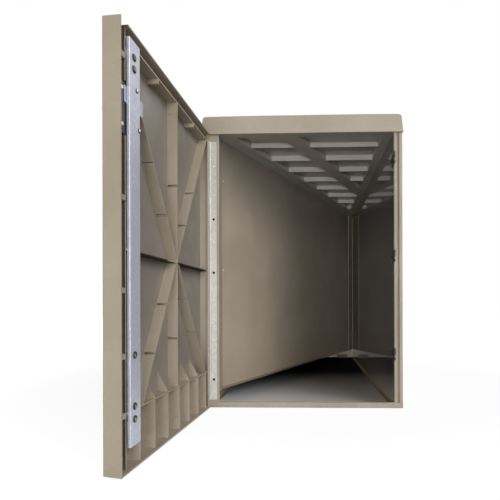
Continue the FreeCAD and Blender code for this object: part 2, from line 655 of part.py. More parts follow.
def door_screw_seats():
    """Seats of the screws in the door leaf, halfway between those of the frame leaf."""
    x = HINGE_X + DOOR_SCREW_FROM_AXIS
    y = LAND_Y + LEAF_WALL
    return [V(x, y, seat.z + HINGE_SCREW_PITCH / 2) for seat in frame_screw_seats()[:-1]]


def hinge_leaf(width, plate_y, own):
    """One leaf: a plate with every second knuckle, own being 0 or 1."""
    leaf = box((HINGE_X, HINGE_X + width), plate_y, (HINGE_FOOT, HINGE_TOP))
    rings = []
    for index in range(KNUCKLE_COUNT):
        low = HINGE_FOOT + index * KNUCKLE_PITCH
        if index % 2 == own:
            start = V(HINGE_X, HINGE_Y, low + KNUCKLE_END_GAP / 2)
            rings.append(rod(start, Z_AXIS, KNUCKLE_RADIUS, KNUCKLE_PITCH - KNUCKLE_END_GAP))
        else:
            start = V(HINGE_X, HINGE_Y, low - KNUCKLE_END_GAP / 2)
            room = KNUCKLE_RADIUS + LEAF_SEAT_GAP
            leaf = leaf.cut(rod(start, Z_AXIS, room, KNUCKLE_PITCH + KNUCKLE_END_GAP))
    bore = rod(V(HINGE_X, HINGE_Y, HINGE_FOOT - 1), Z_AXIS, PIN_RADIUS + RUNNING_CLEARANCE,
               HINGE_TOP - HINGE_FOOT + 2)
    return leaf.fuse(rings).cut(bore)


def frame_leaf():
    """Leaf on the front face of the hinge post."""
    leaf = hinge_leaf(FRAME_LEAF_WIDTH, (-LEAF_WALL, 0), 0)
    for seat in frame_screw_seats():
        leaf = leaf.cut(screw_hole(seat, Y_AXIS * -1, HINGE_SCREW_LENGTH))
    return leaf


def door_leaf():
    """Leaf on the land of the door."""
    leaf = hinge_leaf(DOOR_LEAF_WIDTH, (LAND_Y, LAND_Y + LEAF_WALL), 1)
    for seat in door_screw_seats():
        leaf = leaf.cut(screw_hole(seat, Y_AXIS, HINGE_SCREW_LENGTH))
    return leaf


def hinge_pin():
    """Pin through all the knuckles."""
    return rod(V(HINGE_X, HINGE_Y, HINGE_FOOT), Z_AXIS, PIN_RADIUS, HINGE_TOP - HINGE_FOOT)


# Door shell

def tapered_block(inset, y_rim, y_skin):
    """Block of the door's outline, an inset smaller all round, with its draft between two depths."""
    def outline(y):
        part = (RIM_Y - y) / DOOR_DEPTH
        low = (DOOR_X0 + HINGE_SIDE_DRAFT * part + inset, DOOR_BOTTOM + FOOT_DRAFT * part + inset)
        high = (DOOR_X1 - FREE_SIDE_DRAFT * part - inset, DOOR_TOP - TOP_DRAFT * part - inset)
        corners = [V(low[0], y, low[1]), V(high[0], y, low[1]), V(high[0], y, high[1]), V(low[0], y, high[1])]
        return Part.makePolygon(corners + [corners[0]])
    return Part.makeLoft([outline(y_rim), outline(y_skin)], True, True)


def upright_rib(along, z, wall=RIB_WALL):
    """Upright rib of the door at a distance from the hinge axis, from the skin to its front edge."""
    x = HINGE_X + along
    return box((x - wall / 2, x + wall / 2), (SKIN_INNER_Y, RIB_FRONT_Y), z)


def level_rib(top, x):
    """Level rib of the door with its top at a height."""
    return box(x, (SKIN_INNER_Y, RIB_FRONT_Y), (top - RIB_WALL, top))


def diagonal_rib(slope):
    """Slanted rib through the crossing: slope is its rise per distance from the hinge."""
    x = HINGE_X + CENTRE_RIB
    reach = DOOR_WIDTH
    thick = RIB_WALL / 2 * math.sqrt(1 + slope ** 2)
    outline = [V(x - reach, SKIN_INNER_Y, CROSSING_HEIGHT - slope * reach - thick),
               V(x + reach, SKIN_INNER_Y, CROSSING_HEIGHT + slope * reach - thick),
               V(x + reach, SKIN_INNER_Y, CROSSING_HEIGHT + slope * reach + thick),
               V(x - reach, SKIN_INNER_Y, CROSSING_HEIGHT - slope * reach + thick)]
    rib = prism(outline, V(0, RIB_FRONT_Y - SKIN_INNER_Y, 0))
    field = box((DOOR_X0, LOCK_RIB_X), (SKIN_INNER_Y, RIM_Y), (LEDGE_TOP - RIB_WALL, UPPER_RAIL))
    return rib.common(field)


def fin_places():
    """Distances of the foot fins from the hinge axis."""
    return [FIN_FIRST + FIN_PITCH * index for index in range(FIN_COUNT)]


def foot_fin(along):
    """Fin between the foot of the door and its ledge, with a thicker foot and a gusset above."""
    wide = RIB_WALL + 2 * FIN_FOOT_EXTRA
    fin = upright_rib(along, (DOOR_BOTTOM, LEDGE_TOP))
    foot = upright_rib(along, (DOOR_BOTTOM, DOOR_BOTTOM + FIN_FOOT_HEIGHT), wide)
    x = HINGE_X + along - RIB_WALL / 2
    corners = [V(x, SKIN_INNER_Y, LEDGE_TOP - 1), V(x, RIB_FRONT_Y, LEDGE_TOP - 1),
               V(x, RIB_FRONT_Y, LEDGE_TOP), V(x, SKIN_INNER_Y, LEDGE_TOP + GUSSET_HEIGHT)]
    return [fin, foot, prism(corners, V(RIB_WALL, 0, 0))]


def drain_slots():
    """Narrow level slots through the ribs and the lining of the hinge side."""
    depth = (SKIN_INNER_Y + DRAIN_SLOT_INSET, RIB_FRONT_Y - DRAIN_SLOT_INSET)
    crossing = HINGE_X + CENTRE_RIB
    slots = [(crossing + (z - CROSSING_HEIGHT) / LONG_DIAGONAL_SLOPE, z) for z in LONG_DIAGONAL_SLOTS]
    slots += [(crossing - (z - CROSSING_HEIGHT) / STEEP_DIAGONAL_SLOPE, z) for z in STEEP_DIAGONAL_SLOTS]
    slots += [(crossing, z) for z in CENTRE_RIB_SLOTS]
    slots += [(DOOR_X0 + HINGE_SIDE_DRAFT + MOULDED_WALL, z) for z in SIDE_WALL_SLOTS]
    half = DRAIN_SLOT_HEIGHT / 2
    return [box((x - 2 * RIB_WALL, x + 2 * RIB_WALL), depth, (z - half, z + half)) for x, z in slots]


def door_shell():
    """Door moulding: a pan with its ribs, land, lock channel and bolt bosses."""
    outer = tapered_block(0, RIM_Y, SKIN_OUTER_Y)
    outer = round_edges(outer, DOOR_EDGE_RADIUS, lambda e: e.CenterOfMass.y < SKIN_OUTER_Y + 1)
    room = tapered_block(MOULDED_WALL, RIM_Y + 1, SKIN_INNER_Y)
    pan = outer.cut(room)
    field = (DOOR_X0, LOCK_RIB_X)
    rail_span = (LEDGE_TOP, UPPER_RAIL)
    ribs = [upright_rib(CENTRE_RIB, rail_span)]
    lock_rib_middle = LOCK_RIB + RIB_WALL / 2
    ribs.append(upright_rib(lock_rib_middle, (DOOR_BOTTOM, CASE_BOTTOM - RIB_WALL)))
    ribs.append(upright_rib(lock_rib_middle, (CASE_TOP + RIB_WALL, DOOR_TOP)))
    ribs += [level_rib(top, field) for top in (UPPER_RAIL, MID_RAIL_TOP, LEDGE_TOP)]
    ribs += [diagonal_rib(LONG_DIAGONAL_SLOPE), diagonal_rib(-STEEP_DIAGONAL_SLOPE)]
    for along in fin_places():
        ribs += foot_fin(along)
    for along in [CENTRE_RIB + offset for offset in TABS_FROM_CENTRE_RIB]:
        tab_z = (UPPER_RAIL - RIB_WALL - TAB_HEIGHT, UPPER_RAIL)
        ribs.append(upright_rib(along, tab_z, RIB_WALL + 2 * TAB_EXTRA))
    centre_tab_z = (UPPER_RAIL - RIB_WALL - CENTRE_TAB_HEIGHT, UPPER_RAIL)
    ribs.append(upright_rib(CENTRE_RIB, centre_tab_z, RIB_WALL + 2 * TAB_EXTRA))
    for height in BOLT_HEIGHTS:
        start = V(BOLT_X, SKIN_INNER_Y, height)
        ribs.append(rod(start, Y_AXIS, BOSS_RADIUS, STRAP_BACK_Y - SKIN_INNER_Y))
    lattice = fuse(ribs).cut(Part.makeCompound(drain_slots()))
    lattice = lattice.common(outer)
    land_y = (LAND_Y - MOULDED_WALL, LAND_Y)
    land = box((DOOR_X0, DOOR_X0 + LAND_WIDTH), land_y, (DOOR_BOTTOM, DOOR_TOP)).common(outer)
    shell = fuse([pan, lattice, land])
    over_land = box((DOOR_X0 - 1, DOOR_X0 + LAND_WIDTH), (LAND_Y, 0), (DOOR_BOTTOM - 1, DOOR_TOP + 1))
    shell = shell.cut(over_land)
    slot_x = (LOCK_RIB_X + RIB_WALL, DOOR_X1 - MOULDED_WALL - FREE_SIDE_DRAFT)
    shell = shell.cut(box(slot_x, (SKIN_INNER_Y, 0), (DOOR_TOP - MOULDED_WALL - TOP_DRAFT - 1, DOOR_TOP + 1)))
    plate_room_x = (STRAP_X0 - LOCK_PLATE_PAST_STRAP - SEAT_GAP, LOCK_RIB_X)
    plate_room_z = (LOCK_PLATE_BOTTOM - SEAT_GAP, LOCK_PLATE_TOP + SEAT_GAP)
    shell = shell.cut(box(plate_room_x, (CASE_FRONT_Y, RIM_Y), plate_room_z))
    cuts = [rod(V(SPINDLE_X, SKIN_OUTER_Y - 1, HANDLE_HEIGHT), Y_AXIS,
                SPINDLE_RADIUS + RUNNING_CLEARANCE, MOULDED_WALL + 2)]
    cuts += [screw_hole(seat, Y_AXIS, HINGE_SCREW_LENGTH) for seat in door_screw_seats()]
    cuts += [bolt_hole(height) for height in BOLT_HEIGHTS]
    return shell.cut(Part.makeCompound(cuts))


# Strap and its fasteners

def strap_bolt(height):
    """Round headed bolt that holds the strap to its boss."""
    seat = V(BOLT_X, STRAP_FRONT_Y, height)
    head = dome(seat, Y_AXIS, BOLT_HEAD_RADIUS, BOLT_HEAD_HEIGHT)
    return fuse([head, rod(seat, Y_AXIS * -1, BOLT_RADIUS, BOLT_LENGTH)])


def bolt_hole(height):
    """Hole for a strap bolt, through the strap and into its boss."""
    seat = V(BOLT_X, STRAP_FRONT_Y + 1, height)
    return rod(seat, Y_AXIS * -1, BOLT_RADIUS + SCREW_CLEARANCE, BOLT_LENGTH + 1 + SEAT_GAP)


def rivet_seats():
    """Seats of the two bright rivets: distance from the free side of the strap, and rise above the handle."""
    places = (UPPER_RIVET, LOWER_RIVET)
    return [V(STRAP_X1 - from_edge, STRAP_FRONT_Y, HANDLE_HEIGHT + rise) for from_edge, rise in places]


def lock_strap():
    """Galvanised strap: a shallow channel with its open side towards the door's skin."""
    y = (STRAP_BACK_Y - STRAP_FLANGE, STRAP_FRONT_Y)
    strap = box((STRAP_X0, STRAP_X1), y, (STRAP_BOTTOM, STRAP_TOP))
    strap = round_edges(strap, STRAP_CORNER_RADIUS, lambda e: upright(e) and e.Vertexes[0].Y > y[1] - 1)
    hollow_x = (STRAP_X0 + STRAP_WALL, STRAP_X1 - STRAP_WALL)
    strap = strap.cut(box(hollow_x, (y[0] - 1, STRAP_BACK_Y), (STRAP_BOTTOM - 1, STRAP_TOP + 1)))
    cuts = [bolt_hole(height) for height in BOLT_HEIGHTS]
    cuts += [screw_hole(seat, Y_AXIS, STRAP_WALL) for seat in rivet_seats()]
    return strap.cut(Part.makeCompound(cuts))


def strap_rivet(seat):
    """Rivet with a domed head on the strap."""
    head = dome(seat, Y_AXIS, RIVET_HEAD_RADIUS, RIVET_HEAD_HEIGHT)
    return fuse([head, rod(seat, Y_AXIS * -1, SCREW_RADIUS, STRAP_WALL)])


# Lock bar

def rack_outline():
    """Tooth outline of the rack, with a gap level with the spindle."""
    tip_x = RACK_PITCH_X - GEAR_ADDENDUM * GEAR_MODULE
    root_x = RACK_PITCH_X + GEAR_DEDENDUM * GEAR_MODULE
    flank = math.tan(math.radians(PRESSURE_ANGLE))
    half = TOOTH_PITCH / 4 - GEAR_BACKLASH / 2
    half_tip = half - GEAR_ADDENDUM * GEAR_MODULE * flank
    half_root = half + GEAR_DEDENDUM * GEAR_MODULE * flank
    first = -int(RACK_BELOW / TOOTH_PITCH)
    last = int(RACK_ABOVE / TOOTH_PITCH)
    points = [V(BAR_X0, 0, (first - 0.5) * TOOTH_PITCH - TOOTH_PITCH / 2)]
    points.append(V(root_x, 0, (first - 0.5) * TOOTH_PITCH - TOOTH_PITCH / 2))
    for index in range(first, last + 2):
        middle = (index - 0.5) * TOOTH_PITCH
        points += [V(root_x, 0, middle - half_root), V(tip_x, 0, middle - half_tip)]
        points += [V(tip_x, 0, middle + half_tip), V(root_x, 0, middle + half_root)]
    points.append(V(root_x, 0, (last + 0.5) * TOOTH_PITCH + TOOTH_PITCH / 2))
    points.append(V(BAR_X0, 0, (last + 0.5) * TOOTH_PITCH + TOOTH_PITCH / 2))
    return points


def lock_bar():
    """Flat bar that slides up to lock, with its rack."""
    bar = box((BAR_X0, BAR_X1), (BAR_Y0, BAR_Y1), (BAR_BOTTOM, BAR_TOP))
    rack_wall = PINION_WIDTH
    rack = prism(rack_outline(), V(0, rack_wall, 0))
    return fuse([bar, rack.translated(V(0, PINION_Y - rack_wall / 2, HANDLE_HEIGHT))])


def bar_pin(height):
    """Headed pin on the bar that a keeper catches."""
    start = V(BAR_X1, BAR_PIN_Y, height)
    neck = INNER_FACE + KEEPER_HEAD_GAP - BAR_X1
    head = rod(start + X_AXIS * neck, X_AXIS, BAR_PIN_HEAD_RADIUS, BAR_PIN_HEAD_WALL)
    return fuse([rod(start, X_AXIS, BAR_PIN_RADIUS, neck + BAR_PIN_HEAD_WALL), head])


def bar_guide(height):
    """Guide block on the lock rib, with a slot for the bar."""
    z = (height - GUIDE_HEIGHT / 2, height + GUIDE_HEIGHT / 2)
    guide_x = (LOCK_RIB_X + RIB_WALL, BAR_X1 + GUIDE_CLEARANCE + GUIDE_WALL)
    guide_y = (BAR_Y0 - GUIDE_CLEARANCE - GUIDE_WALL, RIM_Y - GUIDE_FROM_RIM)
    block = box(guide_x, guide_y, z)
    slot_x = (BAR_X0 - GUIDE_CLEARANCE, BAR_X1 + GUIDE_CLEARANCE)
    slot_y = (BAR_Y0 - GUIDE_CLEARANCE, BAR_Y1 + GUIDE_CLEARANCE)
    return block.cut(box(slot_x, slot_y, (z[0] - 1, z[1] + 1)))


def keeper_z(height):
    """Bottom and top of the keeper for the pin at a height."""
    low = height - BAR_PIN_RADIUS - KEEPER_SLOT_CLEARANCE - KEEPER_MARGIN
    high = height + BAR_TRAVEL + BAR_PIN_RADIUS + KEEPER_SLOT_CLEARANCE + KEEPER_MARGIN
    return (low, high)


def keeper_screw_seats():
    """Seats of the two screws in each keeper."""
    seats = []
    for height in BAR_PIN_HEIGHTS:
        low, high = keeper_z(height)
        for z in (low + KEEPER_MARGIN, high - KEEPER_MARGIN):
            seats.append(V(INNER_FACE - KEEPER_WALL, KEEPER_REACH * 0.7, z))
    return seats


def keeper(height):
    """Steel keeper on the right inner panel: a plate with a hook shaped slot for the pin."""
    plate = box((INNER_FACE - KEEPER_WALL, INNER_FACE), (KEEPER_FRONT_Y, KEEPER_REACH), keeper_z(height))
    room = BAR_PIN_RADIUS + KEEPER_SLOT_CLEARANCE
    slot_x = (INNER_FACE - KEEPER_WALL - 1, INNER_FACE + 1)
    entry = box(slot_x, (KEEPER_FRONT_Y - 1, BAR_PIN_Y + room), (height - room, height + room))
    rise = box(slot_x, (BAR_PIN_Y - room, BAR_PIN_Y + room), (height - room, height + BAR_TRAVEL + room))
    plate = plate.cut(entry.fuse(rise))
    for seat in keeper_screw_seats():
        plate = plate.cut(screw_hole(seat, X_AXIS * -1, KEEPER_WALL + LINER_WALL))
    return plate


# Lock case, handle and key plug

def pinion():
    """Pinion on the spindle: involute teeth, one pointing at the rack."""
    base = PITCH_RADIUS * math.cos(math.radians(PRESSURE_ANGLE))
    tip = PITCH_RADIUS + GEAR_ADDENDUM * GEAR_MODULE
    root = PITCH_RADIUS - GEAR_DEDENDUM * GEAR_MODULE

    def flank_turn(radius):
        roll = math.sqrt(max((radius / base) ** 2 - 1, 0))
        return roll - math.atan(roll)

    half = (TOOTH_PITCH / 2 - GEAR_BACKLASH) / 2 / PITCH_RADIUS + flank_turn(PITCH_RADIUS)
    steps = 4
    radii = [root] + [base + (tip - base) * step / steps for step in range(steps + 1)]
    points = []
    for tooth in range(PINION_TEETH):
        middle = 2 * math.pi * tooth / PINION_TEETH
        sides = [(radius, -(half - flank_turn(radius))) for radius in radii]
        sides += [(radius, half - flank_turn(radius)) for radius in reversed(radii)]
        for radius, turn in sides:
            angle = middle + turn
            points.append(V(radius * math.cos(angle), 0, radius * math.sin(angle)))
    gear = prism(points, V(0, PINION_WIDTH - 2 * SEAT_GAP, 0))
    gear = gear.translated(V(SPINDLE_X, PINION_Y - PINION_WIDTH / 2 + SEAT_GAP, HANDLE_HEIGHT))
    bore = rod(V(SPINDLE_X, BAR_Y0, HANDLE_HEIGHT), Y_AXIS, SPINDLE_RADIUS + RUNNING_CLEARANCE, BAR_DEPTH)
    return gear.cut(bore)


def lock_case():
    """Lock case on the door's skin, with a raised cover that shows beside the strap."""
    z = (CASE_BOTTOM, CASE_TOP)
    shell = box((CASE_X0, CASE_X1), (SKIN_INNER_Y, CASE_FRONT_Y), z)
    room_x = (CASE_X0 + CASE_WALL, CASE_X1 - CASE_WALL)
    room_z = (CASE_BOTTOM + CASE_WALL, CASE_TOP - CASE_WALL)
    shell = shell.cut(box(room_x, (SKIN_INNER_Y - 1, CASE_FRONT_Y - CASE_WALL), room_z))
    cover_x = (LOCK_RIB_X + CASE_COVER_FROM_LOCK_RIB, CASE_X1)
    cover_y = (CASE_FRONT_Y - CASE_WALL, RIM_Y - CASE_COVER_FROM_RIM)
    cover_z = (CASE_BOTTOM + CASE_COVER_INSET, CASE_TOP - CASE_COVER_INSET)
    cover = box(cover_x, cover_y, cover_z)
    cover = round_edges(cover, CASE_WALL, lambda e: e.CenterOfMass.y > cover_y[1] - 0.1)
    slot_x = (BAR_X0 - GUIDE_CLEARANCE, BAR_X1 + GUIDE_CLEARANCE)
    slot_y = (BAR_Y0 - GUIDE_CLEARANCE, BAR_Y1 + GUIDE_CLEARANCE)
    slot = box(slot_x, slot_y, (CASE_BOTTOM - 1, CASE_TOP + 1))
    return fuse([shell, cover]).cut(slot)


def lock_plate():
    """Steel plate between the case and the strap, whose end shows past the strap."""
    y = (CASE_FRONT_Y, CASE_FRONT_Y + LOCK_PLATE_WALL)
    z = (LOCK_PLATE_BOTTOM, LOCK_PLATE_TOP)
    plate = box((STRAP_X0 - LOCK_PLATE_PAST_STRAP, LOCK_RIB_X + RIB_WALL), y, z)
    return round_edges(plate, CASE_WALL, lambda e: abs(e.Length - LOCK_PLATE_WALL) < 0.01)


def lock_screws():
    """Bright screws on the cover of the lock case."""
    x = (LOCK_RIB_X + CASE_COVER_FROM_LOCK_RIB + CASE_X1) / 2
    inset = 2 * CASE_COVER_INSET + SCREW_HEAD_RADIUS
    seats = [V(x, RIM_Y - CASE_COVER_FROM_RIM, z) for z in (CASE_BOTTOM + inset, CASE_TOP - inset)]
    return Part.makeCompound([dome(seat, Y_AXIS, SCREW_HEAD_RADIUS, SCREW_HEAD_HEIGHT) for seat in seats])


def handle_plate():
    """Round plate on the outside of the door, under the handle."""
    start = V(SPINDLE_X, SKIN_OUTER_Y - HANDLE_PLATE_WALL, HANDLE_HEIGHT)
    plate = rod(start, Y_AXIS, HANDLE_PLATE_RADIUS, HANDLE_PLATE_WALL)
    plate = round_edges(plate, HANDLE_PLATE_WALL / 2, lambda e: e.CenterOfMass.y < SKIN_OUTER_Y - 1
                        and len(e.Vertexes) == 1)
    return plate.cut(rod(start - Y_AXIS, Y_AXIS, SPINDLE_RADIUS + RUNNING_CLEARANCE, HANDLE_PLATE_WALL + 2))


def handle():
    """Low T handle with its hub and spindle, upright when the door is unlocked."""
    centre = V(SPINDLE_X, GRIP_BACK_Y, HANDLE_HEIGHT)
    x = (SPINDLE_X - GRIP_WIDTH / 2, SPINDLE_X + GRIP_WIDTH / 2)
    z = (HANDLE_HEIGHT - GRIP_LENGTH / 2, HANDLE_HEIGHT + GRIP_LENGTH / 2)
    grip = box(x, (GRIP_FRONT_Y, GRIP_BACK_Y), z)
    grip = grip.makeFillet(GRIP_RADIUS, grip.Edges)
    face = rod(V(SPINDLE_X, GRIP_FRONT_Y, HANDLE_HEIGHT), Y_AXIS, HANDLE_HUB_RADIUS, GRIP_WALL)
    hub = rod(centre, Y_AXIS, HANDLE_HUB_RADIUS, HANDLE_HUB_HEIGHT)
    spindle = rod(centre, Y_AXIS, SPINDLE_RADIUS, CASE_FRONT_Y - CASE_WALL - SEAT_GAP - GRIP_BACK_Y)
    mouth = V(SPINDLE_X, GRIP_FRONT_Y - 1, HANDLE_HEIGHT)
    bore = rod(mouth, Y_AXIS, PLUG_RADIUS + RUNNING_CLEARANCE, PLUG_LENGTH + SEAT_GAP + 1 - PLUG_PROUD)
    return fuse([grip, face, hub, spindle]).cut(bore)


def key_plug():
    """Key plug in the handle, with its keyway."""
    start = V(SPINDLE_X, GRIP_FRONT_Y - PLUG_PROUD, HANDLE_HEIGHT)
    plug = rod(start, Y_AXIS, PLUG_RADIUS, PLUG_LENGTH)
    half = KEYWAY_LENGTH / 2
    keyway = box((SPINDLE_X - KEYWAY_WIDTH / 2, SPINDLE_X + KEYWAY_WIDTH / 2),
                 (start.y - 1, start.y + KEYWAY_DEPTH), (HANDLE_HEIGHT - half, HANDLE_HEIGHT + half))
    return plug.cut(keyway)


# Writing the sub-parts

def fixed_pieces():
    """Pieces of one end that stay with the locker's body, by name."""
    return {
        "sill": sill(),
        "hinge_post": hinge_post(),
        "hinge_frame_leaf": frame_leaf(),
        "hinge_pin": hinge_pin(),
        "hinge_frame_screws": Part.makeCompound(
            [screw(seat, Y_AXIS * -1, HINGE_SCREW_LENGTH) for seat in frame_screw_seats()]),
        "partition_angle": partition_angle(),
        "partition_screws": partition_screws(),
        "keepers": Part.makeCompound([keeper(height) for height in BAR_PIN_HEIGHTS]),
        "keeper_screws": Part.makeCompound(
            [screw(seat, X_AXIS * -1, KEEPER_WALL + LINER_WALL) for seat in keeper_screw_seats()]),
    }


def door_pieces():
    """Pieces of one door and its lock, by name."""
    return {
        "door_shell": door_shell(),
        "hinge_door_leaf": door_leaf(),
        "hinge_door_screws": Part.makeCompound(
            [screw(seat, Y_AXIS, HINGE_SCREW_LENGTH) for seat in door_screw_seats()]),
        "lock_strap": lock_strap(),
        "strap_bolts": Part.makeCompound([strap_bolt(height) for height in BOLT_HEIGHTS]),
        "strap_rivets": Part.makeCompound([strap_rivet(seat) for seat in rivet_seats()]),
        "lock_case": lock_case(),
        "lock_screws": lock_screws(),
        "lock_plate": lock_plate(),
        "bar_guides": Part.makeCompound([bar_guide(height) for height in GUIDE_HEIGHTS]),
        "handle_plate": handle_plate(),
        "handle": handle(),
        "pinion": pinion(),
        "key_plug": key_plug(),
        "lock_bar": lock_bar(),
        "bar_pins": Part.makeCompound([bar_pin(height) for height in BAR_PIN_HEIGHTS]),
    }


def main():
    """Build every sub-part and write it."""
    os.makedirs("parts", exist_ok=True)
    save("roof_cover", at_front(roof_cover()))
    save("ceiling_panel", at_front(ceiling_panel()))
    save("partition_panel", at_front(partition_panel()))
    for name, shape in {"outer_panel": outer_panel(), "inner_panel": inner_panel()}.items():
        save("right_" + name, at_front(shape))
        save("left_" + name, at_rear(shape))
    brackets = Part.makeCompound([anchor_bracket(x) for x in (-ANCHOR_FROM_CENTRE, ANCHOR_FROM_CENTRE)])
    screws = Part.makeCompound([screw(seat, Y_AXIS, ANCHOR_SCREW_LENGTH) for seat in anchor_screw_seats()])
    save("anchor_brackets", Part.makeCompound([at_front(brackets), at_rear(brackets)]))
    save("anchor_screws", Part.makeCompound([at_front(screws), at_rear(screws)]))
    for name, shape in fixed_pieces().items():
        save("front_" + name, at_front(shape))
        save("rear_" + name, at_rear(shape))
    for name, shape in door_pieces().items():
        save("front_" + name, on_open_door(shape))
        save("rear_" + name, at_rear(shape))


main()
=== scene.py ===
"""Looks of the bicycle locker: finishes, softened edges, fasteners, handles and the studio round it."""
import json
import logging
import math
from dataclasses import dataclass
from enum import Enum
from typing import Any, Callable, Sequence

import bmesh
import bpy
import numpy as np
from mathutils import Matrix, Vector

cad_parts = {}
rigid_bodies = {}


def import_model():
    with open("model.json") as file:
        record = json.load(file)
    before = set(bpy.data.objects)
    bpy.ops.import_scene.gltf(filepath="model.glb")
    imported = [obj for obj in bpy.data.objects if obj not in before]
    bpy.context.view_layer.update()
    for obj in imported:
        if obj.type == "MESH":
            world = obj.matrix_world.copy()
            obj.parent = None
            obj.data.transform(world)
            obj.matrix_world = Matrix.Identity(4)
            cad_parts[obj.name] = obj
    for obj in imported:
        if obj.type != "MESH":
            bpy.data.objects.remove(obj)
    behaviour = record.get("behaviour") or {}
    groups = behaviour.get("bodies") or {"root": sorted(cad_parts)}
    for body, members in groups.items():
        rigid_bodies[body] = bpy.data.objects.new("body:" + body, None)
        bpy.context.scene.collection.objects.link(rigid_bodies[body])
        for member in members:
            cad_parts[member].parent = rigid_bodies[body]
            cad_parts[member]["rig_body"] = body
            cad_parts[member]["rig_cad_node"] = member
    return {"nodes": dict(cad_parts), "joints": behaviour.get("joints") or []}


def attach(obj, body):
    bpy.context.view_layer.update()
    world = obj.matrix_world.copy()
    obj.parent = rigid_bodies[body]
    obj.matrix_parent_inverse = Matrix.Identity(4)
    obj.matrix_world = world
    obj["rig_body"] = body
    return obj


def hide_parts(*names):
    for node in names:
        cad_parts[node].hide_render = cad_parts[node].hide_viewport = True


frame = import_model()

log = logging.getLogger("locker")

MM = 0.001
ENDS = ("front", "rear")
Colour = tuple[float, float, float, float]
FacePick = Callable[[np.ndarray, np.ndarray], np.ndarray]


def linear(hex_colour: str) -> Colour:
    """Turn an sRGB value into a linear colour.

    Args:
        hex_colour: the value, such as #aabbcc.

    Returns:
        Red, green and blue from 0 to 1, and full cover.
    """
    parts = [int(hex_colour[i:i + 2], 16) / 255 for i in (1, 3, 5)]
    turned = [v / 12.92 if v <= 0.04045 else ((v + 0.055) / 1.055) ** 2.4 for v in parts]
    return (turned[0], turned[1], turned[2], 1.0)


def per_metre(size_mm: float) -> float:
    """Texture scale of a pattern whose features are size_mm apart."""
    return 1000.0 / size_mm


def add_node(tree: bpy.types.NodeTree, kind: str, settings: dict[Any, Any] | None = None,
             links: dict[Any, bpy.types.NodeSocket] | None = None) -> bpy.types.Node:
    """Add a node, set what it is told and link its inputs.

    Args:
        tree: node tree of a material or of the world.
        kind: Blender's class name of the node.
        settings: values by input (name or number), or by property name.
        links: the output that feeds each input (name or number).

    Returns:
        The new node.
    """
    node = tree.nodes.new(kind)
    for key, value in (settings or {}).items():
        if isinstance(key, int) or key in node.inputs:
            node.inputs[key].default_value = value
        else:
            setattr(node, key, value)
    for key, output in (links or {}).items():
        tree.links.new(output, node.inputs[key])
    return node


class Axis(Enum):
    """Direction in which a streaked finish runs."""

    X = (1.0, 0.03, 0.03)
    Z = (1.0, 1.0, 0.03)


@dataclass(frozen=True)
class Finish:
    """A surface finish: its material slot in the record and its tones."""

    name: str
    slot: str
    base: str
    shade: str
    roughness: float

    def start(self) -> tuple[bpy.types.Material, bpy.types.NodeTree, bpy.types.NodeSocket, bpy.types.Node]:
        """Make an empty material.

        Returns:
            The material, its tree, the object coordinates and the output node.
        """
        material = bpy.data.materials.new(self.name)
        material.use_nodes = True
        tree = material.node_tree
        tree.nodes.clear()
        place = add_node(tree, "ShaderNodeTexCoord").outputs["Object"]
        output = add_node(tree, "ShaderNodeOutputMaterial")
        return material, tree, place, output

    def noise(self, tree: bpy.types.NodeTree, place: bpy.types.NodeSocket, size_mm: float,
              detail: float = 2.0, stretch: tuple[float, float, float] = (1.0, 1.0, 1.0)) -> bpy.types.NodeSocket:
        """Noise with features of a real size.

        Args:
            tree: the material's tree.
            place: coordinates.
            size_mm: size of the features.
            detail: octaves.
            stretch: factor on each axis, small along a streak.

        Returns:
            The noise value.
        """
        mapped = add_node(tree, "ShaderNodeMapping", {"Scale": stretch}, {"Vector": place})
        made = add_node(tree, "ShaderNodeTexNoise", {"Scale": per_metre(size_mm), "Detail": detail},
                        {"Vector": mapped.outputs["Vector"]})
        return made.outputs["Fac"]

    def spread(self, tree: bpy.types.NodeTree, value: bpy.types.NodeSocket, low: float, high: float,
               bottom: float = 0.35, top: float = 0.65) -> bpy.types.NodeSocket:
        """Map a part of a value's range, by default the middle of a noise's, onto another range.

        Args:
            tree: the material's tree.
            value: the value.
            low: result at bottom and below.
            high: result at top and above.
            bottom: start of the part.
            top: end of the part.

        Returns:
            The mapped value.
        """
        node = add_node(tree, "ShaderNodeMapRange", {"From Min": bottom, "From Max": top, "To Min": low,
                                                     "To Max": high}, {"Value": value})
        return node.outputs["Result"]

    def mix(self, tree: bpy.types.NodeTree, share: bpy.types.NodeSocket, first: bpy.types.NodeSocket | Colour,
            second: bpy.types.NodeSocket | Colour) -> bpy.types.NodeSocket:
        """Mix two colours, each a value or an output.

        Args:
            tree: the material's tree.
            share: how much of the second.
            first: colour where share is 0.
            second: colour where share is 1.

        Returns:
            The mixed colour.
        """
        node = add_node(tree, "ShaderNodeMix", {"data_type": "RGBA"}, {"Factor": share})
        for socket, colour in ((node.inputs[6], first), (node.inputs[7], second)):
            if isinstance(colour, bpy.types.NodeSocket):
                tree.links.new(colour, socket)
            else:
                socket.default_value = colour
        return node.outputs[2]


